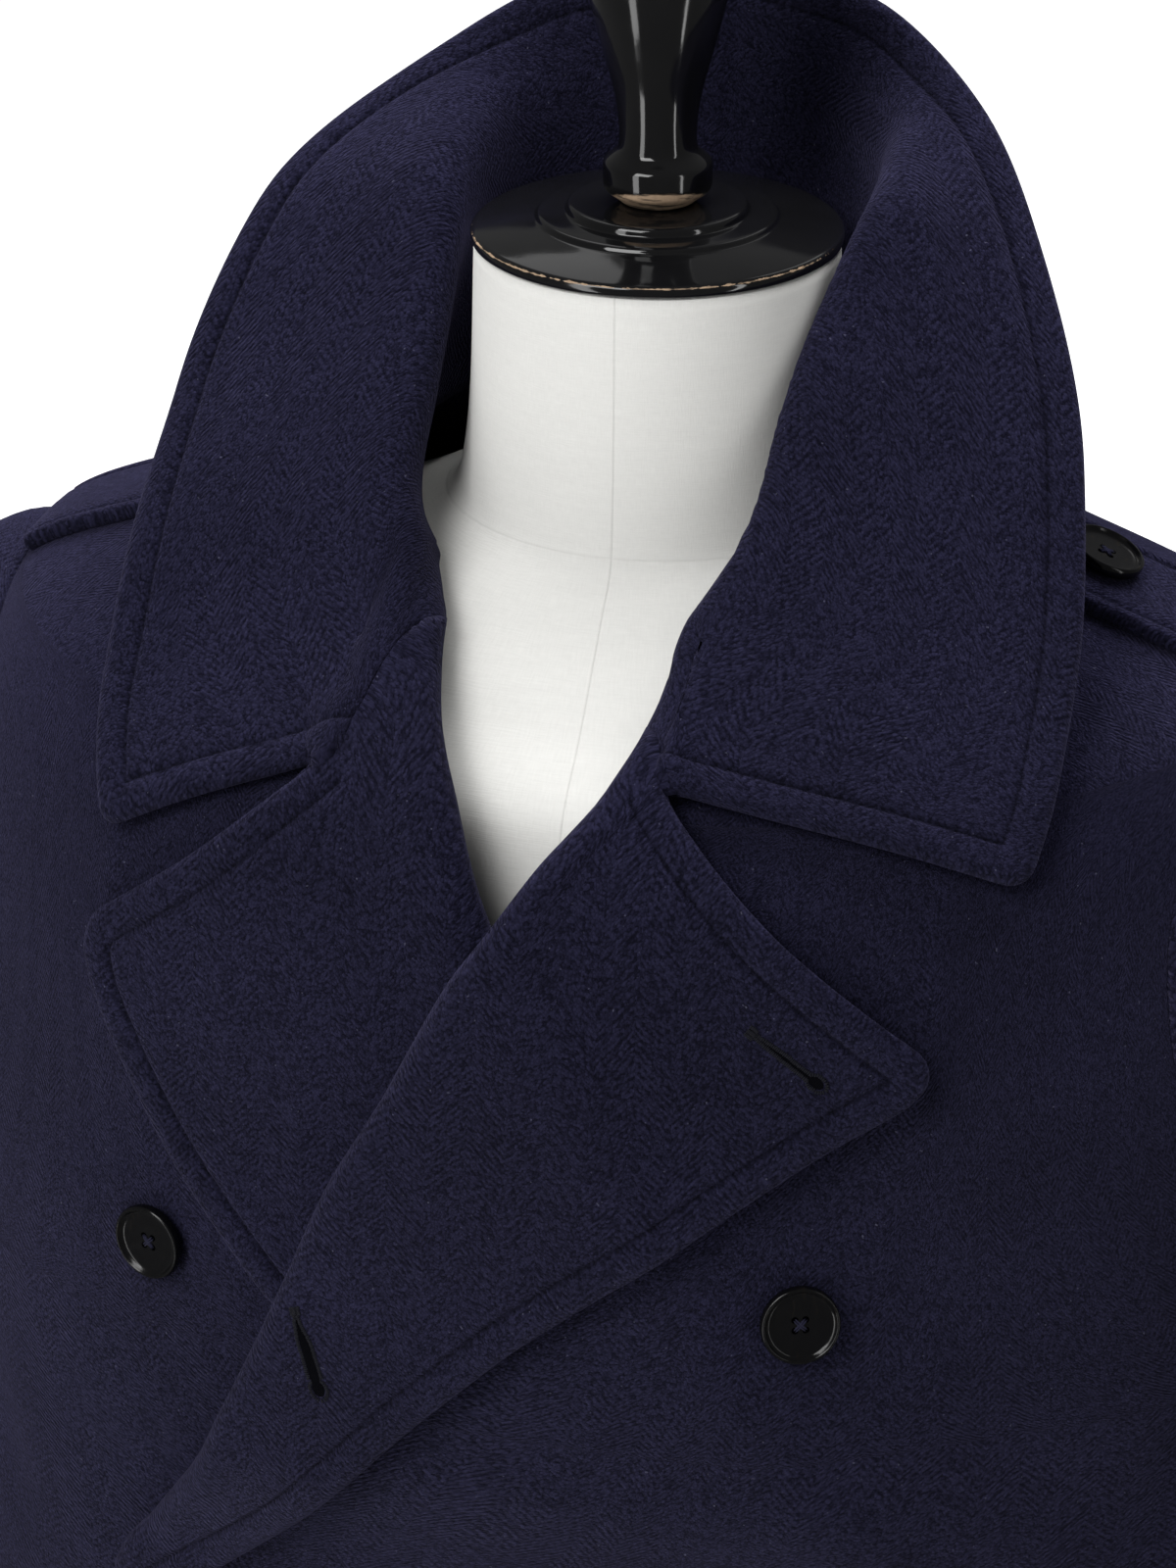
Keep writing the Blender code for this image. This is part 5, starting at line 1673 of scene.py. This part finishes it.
for side in (LEFT, RIGHT):
    for i, row_z in enumerate(BUTTON_ROWS):
        z, out, under = row_z + BUTTON_RISE[side], BUTTON_OUT[side], side
        if side == RIGHT and level_at(out, z) < BREAK:
            under, out = LEFT, -out
        normal = front_normal(under, out, z)
        at = on_front(under, out, z, CLOTH / 2) + normal * 2 * GAP
        sew_on(f"{side_name('front_button', side)}_{i + 1}", at, normal, UP)
    at = strap_point(side, STRAP_BUTTON_LEVEL, 0, CLOTH / 2 + FOLDED_CLOTH + 2 * GAP)
    angle = angle_at_y(STRAP_CENTRE, STRAP_BUTTON_LEVEL)
    normal = own_side(side, skin_normal(angle, STRAP_BUTTON_LEVEL))
    sew_on(side_name("epaulette_button", side), at, normal, Vector((side, 0, 0)))
bpy.data.objects.remove(button_pattern)
bpy.data.objects.remove(thread_pattern)

# %% [markdown]
# ## Buttonholes
# Two worked buttonholes show on the upper lapel, so that the coat can be closed to
# the throat. Each is a slit with a round eye at its outer end, edged by close
# stitches in dark thread, with a bar of thread across its closed end.
# The slit is filled by a thin near-black sheet, which is painted shade for the dark inside the
# opening.

# %% The buttonholes' places and shape
Buttonhole = namedtuple("Buttonhole", "bar_out bar_z eye_out eye_z slit eye")
BUTTONHOLES = (
    Buttonhole(-0.052, 1.250, -0.0444, 1.222, 3.3 * MM, 5.2 * MM),
    Buttonhole(0.082, 1.3525, 0.103, 1.3365, 1.1 * MM, 3.8 * MM),
)
STITCH_LONG, STITCH_WIDE, STITCH_HIGH = 1.5 * MM, 0.62 * MM, 0.75 * MM
STITCH_STEP = STITCH_WIDE  # the stitches lie side by side
BAR_STITCHES, BAR_STEP, BAR_REACH = 7, 0.42 * MM, 1.3 * MM


def opening_width(hole, part):
    """The opening's width along it, from the bar (0) to the eye's end (1)."""
    slit = hole.slit * min(part / 0.4, 1) ** 0.9
    if part < 0.78:
        return blend(slit, slit * 1.25, part)
    eye = math.sqrt(max(1 - ((part - 0.89) / 0.11) ** 2, 0))
    return max(slit * (1 - ease((part - 0.8) / 0.2)), hole.eye * eye)


print("widest opening:", max(opening_width(BUTTONHOLES[0], i / 50) for i in range(51)), "m")


# %% Work one buttonhole
def make_buttonhole(name, lapel, hole, bead, black, dark_thread):
    places = [Vector(on_front(LEFT, hole.bar_out, hole.bar_z, 12 * MM)),
              Vector(on_front(LEFT, hole.eye_out, hole.eye_z, 12 * MM))]
    ends = [lapel.closest_point_on_mesh(place)[1] for place in places]
    middle = lapel.closest_point_on_mesh((places[0] + places[1]) / 2)
    long, normal = ends[1] - ends[0], middle[2]
    along = long.normalized()
    across = normal.cross(along).normalized()

    def laid(part, off, height):
        at = ends[0] + long * part + across * off
        _, at, up_way, _ = lapel.closest_point_on_mesh(at + normal * 4 * MM)
        return at + up_way * height, up_way

    def stitch_at(part, off, way, height):
        at, up_way = laid(part, off, height)
        side_way = up_way.cross(way).normalized()
        turn = Matrix((side_way.cross(up_way), side_way, up_way)).transposed().to_4x4()
        return copy_of(bead, "stitch", Matrix.Translation(at) @ turn)

    outline = []
    for part in spaced(0, 1, 400):
        outline.append((part, opening_width(hole, part) / 2))
    stitches = []
    for flip in (1, -1):
        travelled = 0.0
        for (a, half_a), (b, half_b) in zip(outline, outline[1:]):
            travelled += math.hypot((b - a) * long.length, half_b - half_a)
            if travelled < STITCH_STEP:
                continue
            travelled = 0.0
            slope = Vector(((half_a - half_b), (b - a) * long.length)).normalized()
            reach = STITCH_LONG / 2 - 0.35 * MM
            way = (along * slope.x + across * slope.y * flip).normalized()
            part = b + slope.x * reach / long.length
            off = (half_b + slope.y * reach) * flip
            wobble = random.uniform(-0.10, 0.10) * MM
            stitches.append(stitch_at(part, off + wobble, way, 0.12 * MM))
    for i in range(BAR_STITCHES):
        part = (i - BAR_STITCHES // 2) * BAR_STEP / long.length - 0.02
        for off in (-BAR_REACH, 0.0, BAR_REACH):
            stitches.append(stitch_at(part, off, across, (0.45 if off == 0 else 0.2) * MM))
    edging = joined(stitches, f"{name}_stitches")
    edging.data.materials.append(dark_thread)
    # A thin lens of near-black fills the slit. It is painted shade, standing for the dark inside
    # the opening.
    deselect_all()
    bpy.ops.mesh.primitive_uv_sphere_add(segments=32, ring_count=24, radius=1)
    opening = bpy.context.object
    bpy.ops.transform.rotate(value=math.pi / 2, orient_axis="Y", center_override=(0, 0, 0))
    bpy.ops.object.transform_apply(rotation=True)
    opening.name = f"{name}_opening"
    for vertex in opening.data.vertices:
        part = (vertex.co.x + 1) / 2
        ring = math.sqrt(max(1 - vertex.co.x**2, 1e-9))
        off = vertex.co.y / ring * opening_width(hole, part) / 2 if ring > 1e-3 else 0
        at, _ = laid(part, off, vertex.co.z * 0.18 * MM - 0.06 * MM)
        vertex.co = at
    opening.data.update()
    bpy.ops.object.shade_smooth()
    opening.data.materials.append(black)
    for piece in (edging, opening):
        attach(piece, "root")
    print(edging.name, "has", len(stitches), "stitches")
    return edging


# %% Two buttonholes
bead = thread_strand(STITCH_LONG, STITCH_WIDE, STITCH_HIGH)
# The near-black of the slit is painted shade.
slit_painted_shade, depth_tree, depth_shader = new_material("painted shade inside a buttonhole", 0.95)
depth_place = node(depth_tree, "ShaderNodeTexCoord").outputs["Object"]
depth_fuzz = noise(depth_tree, depth_place, 1800)
depth_dark, depth_light = (0.0008, 0.0008, 0.0012, 1), (0.0025, 0.0025, 0.0038, 1)
depth_colour = mixed(depth_tree, depth_fuzz, depth_dark, depth_light)
depth_tree.links.new(depth_colour, depth_shader.inputs["Base Color"])
depth_shader.inputs["Specular IOR Level"].default_value = 0.02
grey_dark, grey_light = (0.0019, 0.0020, 0.0036, 1), (0.0090, 0.0093, 0.0150, 1)
edge_thread = make_thread("dark grey thread", grey_dark, grey_light)
for i, hole in enumerate(BUTTONHOLES):
    make_buttonhole(f"buttonhole_{i + 1}", lapels[LEFT], hole, bead, slit_painted_shade, edge_thread)
bpy.data.objects.remove(bead)

# %% [markdown]
# ## Stage and light
# A pale floor, a broad soft light in front and above, and two tall panels at the
# sides, which draw the long highlights on the lacquered cap.

# %% The floor
def make_floor():
    bpy.ops.mesh.primitive_plane_add(size=44, location=(0, 0, 0))
    floor = bpy.context.object
    floor.name = "floor"
    material, tree, shader = new_material("pale floor", 0.9)
    place = node(tree, "ShaderNodeTexCoord").outputs["Object"]
    tone = noise(tree, place, 3.0, 2.0)
    colour = mixed(tree, tone, (0.90, 0.90, 0.90, 1), (0.93, 0.93, 0.93, 1))
    tree.links.new(colour, shader.inputs["Base Color"])
    shader.inputs["Specular IOR Level"].default_value = 0.1
    floor.data.materials.append(material)
    floor.visible_glossy = False


make_floor()
print("the floor is laid")


# %% The lights
def add_light(name, place, target, size, power, tall=None, in_gloss=True):
    lamp = bpy.data.lights.new(name, "AREA")
    lamp.energy = power
    lamp.size = size
    if tall:
        lamp.shape, lamp.size_y = "RECTANGLE", tall
    lit = bpy.data.objects.new(name, lamp)
    lit.visible_camera, lit.visible_glossy = False, in_gloss
    bpy.context.scene.collection.objects.link(lit)
    way = (Vector(target) - Vector(place)).to_track_quat("-Z", "Y").to_matrix().to_4x4()
    lit.matrix_world = Matrix.Translation(place) @ way
    print(name, "gives", power, "W")


add_light("front light", (-0.95, -2.75, 3.9), (0, 0, 1.3), 2.0, 102)
add_light("left panel", (-0.80, -1.45, 1.25), (0, 0, 1.25), 0.36, 13, 2.4)
add_light("right panel", (1.55, -0.62, 1.25), (0, 0, 1.25), 0.14, 6, 2.4)
add_light("far left panel", (-1.0, 1.9, 3.5), (0, 0, 1.55), 0.55, 1.3, 1.1)
add_light("far right panel", (0.35, 2.1, 3.5), (0, 0, 1.55), 0.40, 1.4, 1.1)
add_light("top light", (0, 2.6, 4.4), (0, 2.6, 0), 4.4, 465, in_gloss=False)
world = bpy.data.worlds.new("studio")
bpy.context.scene.world = world
world.use_nodes = True
world.node_tree.nodes["Background"].inputs[0].default_value = (1, 1, 1, 1)
world.node_tree.nodes["Background"].inputs[1].default_value = 0.15
bpy.context.scene.view_settings.view_transform = "Standard"
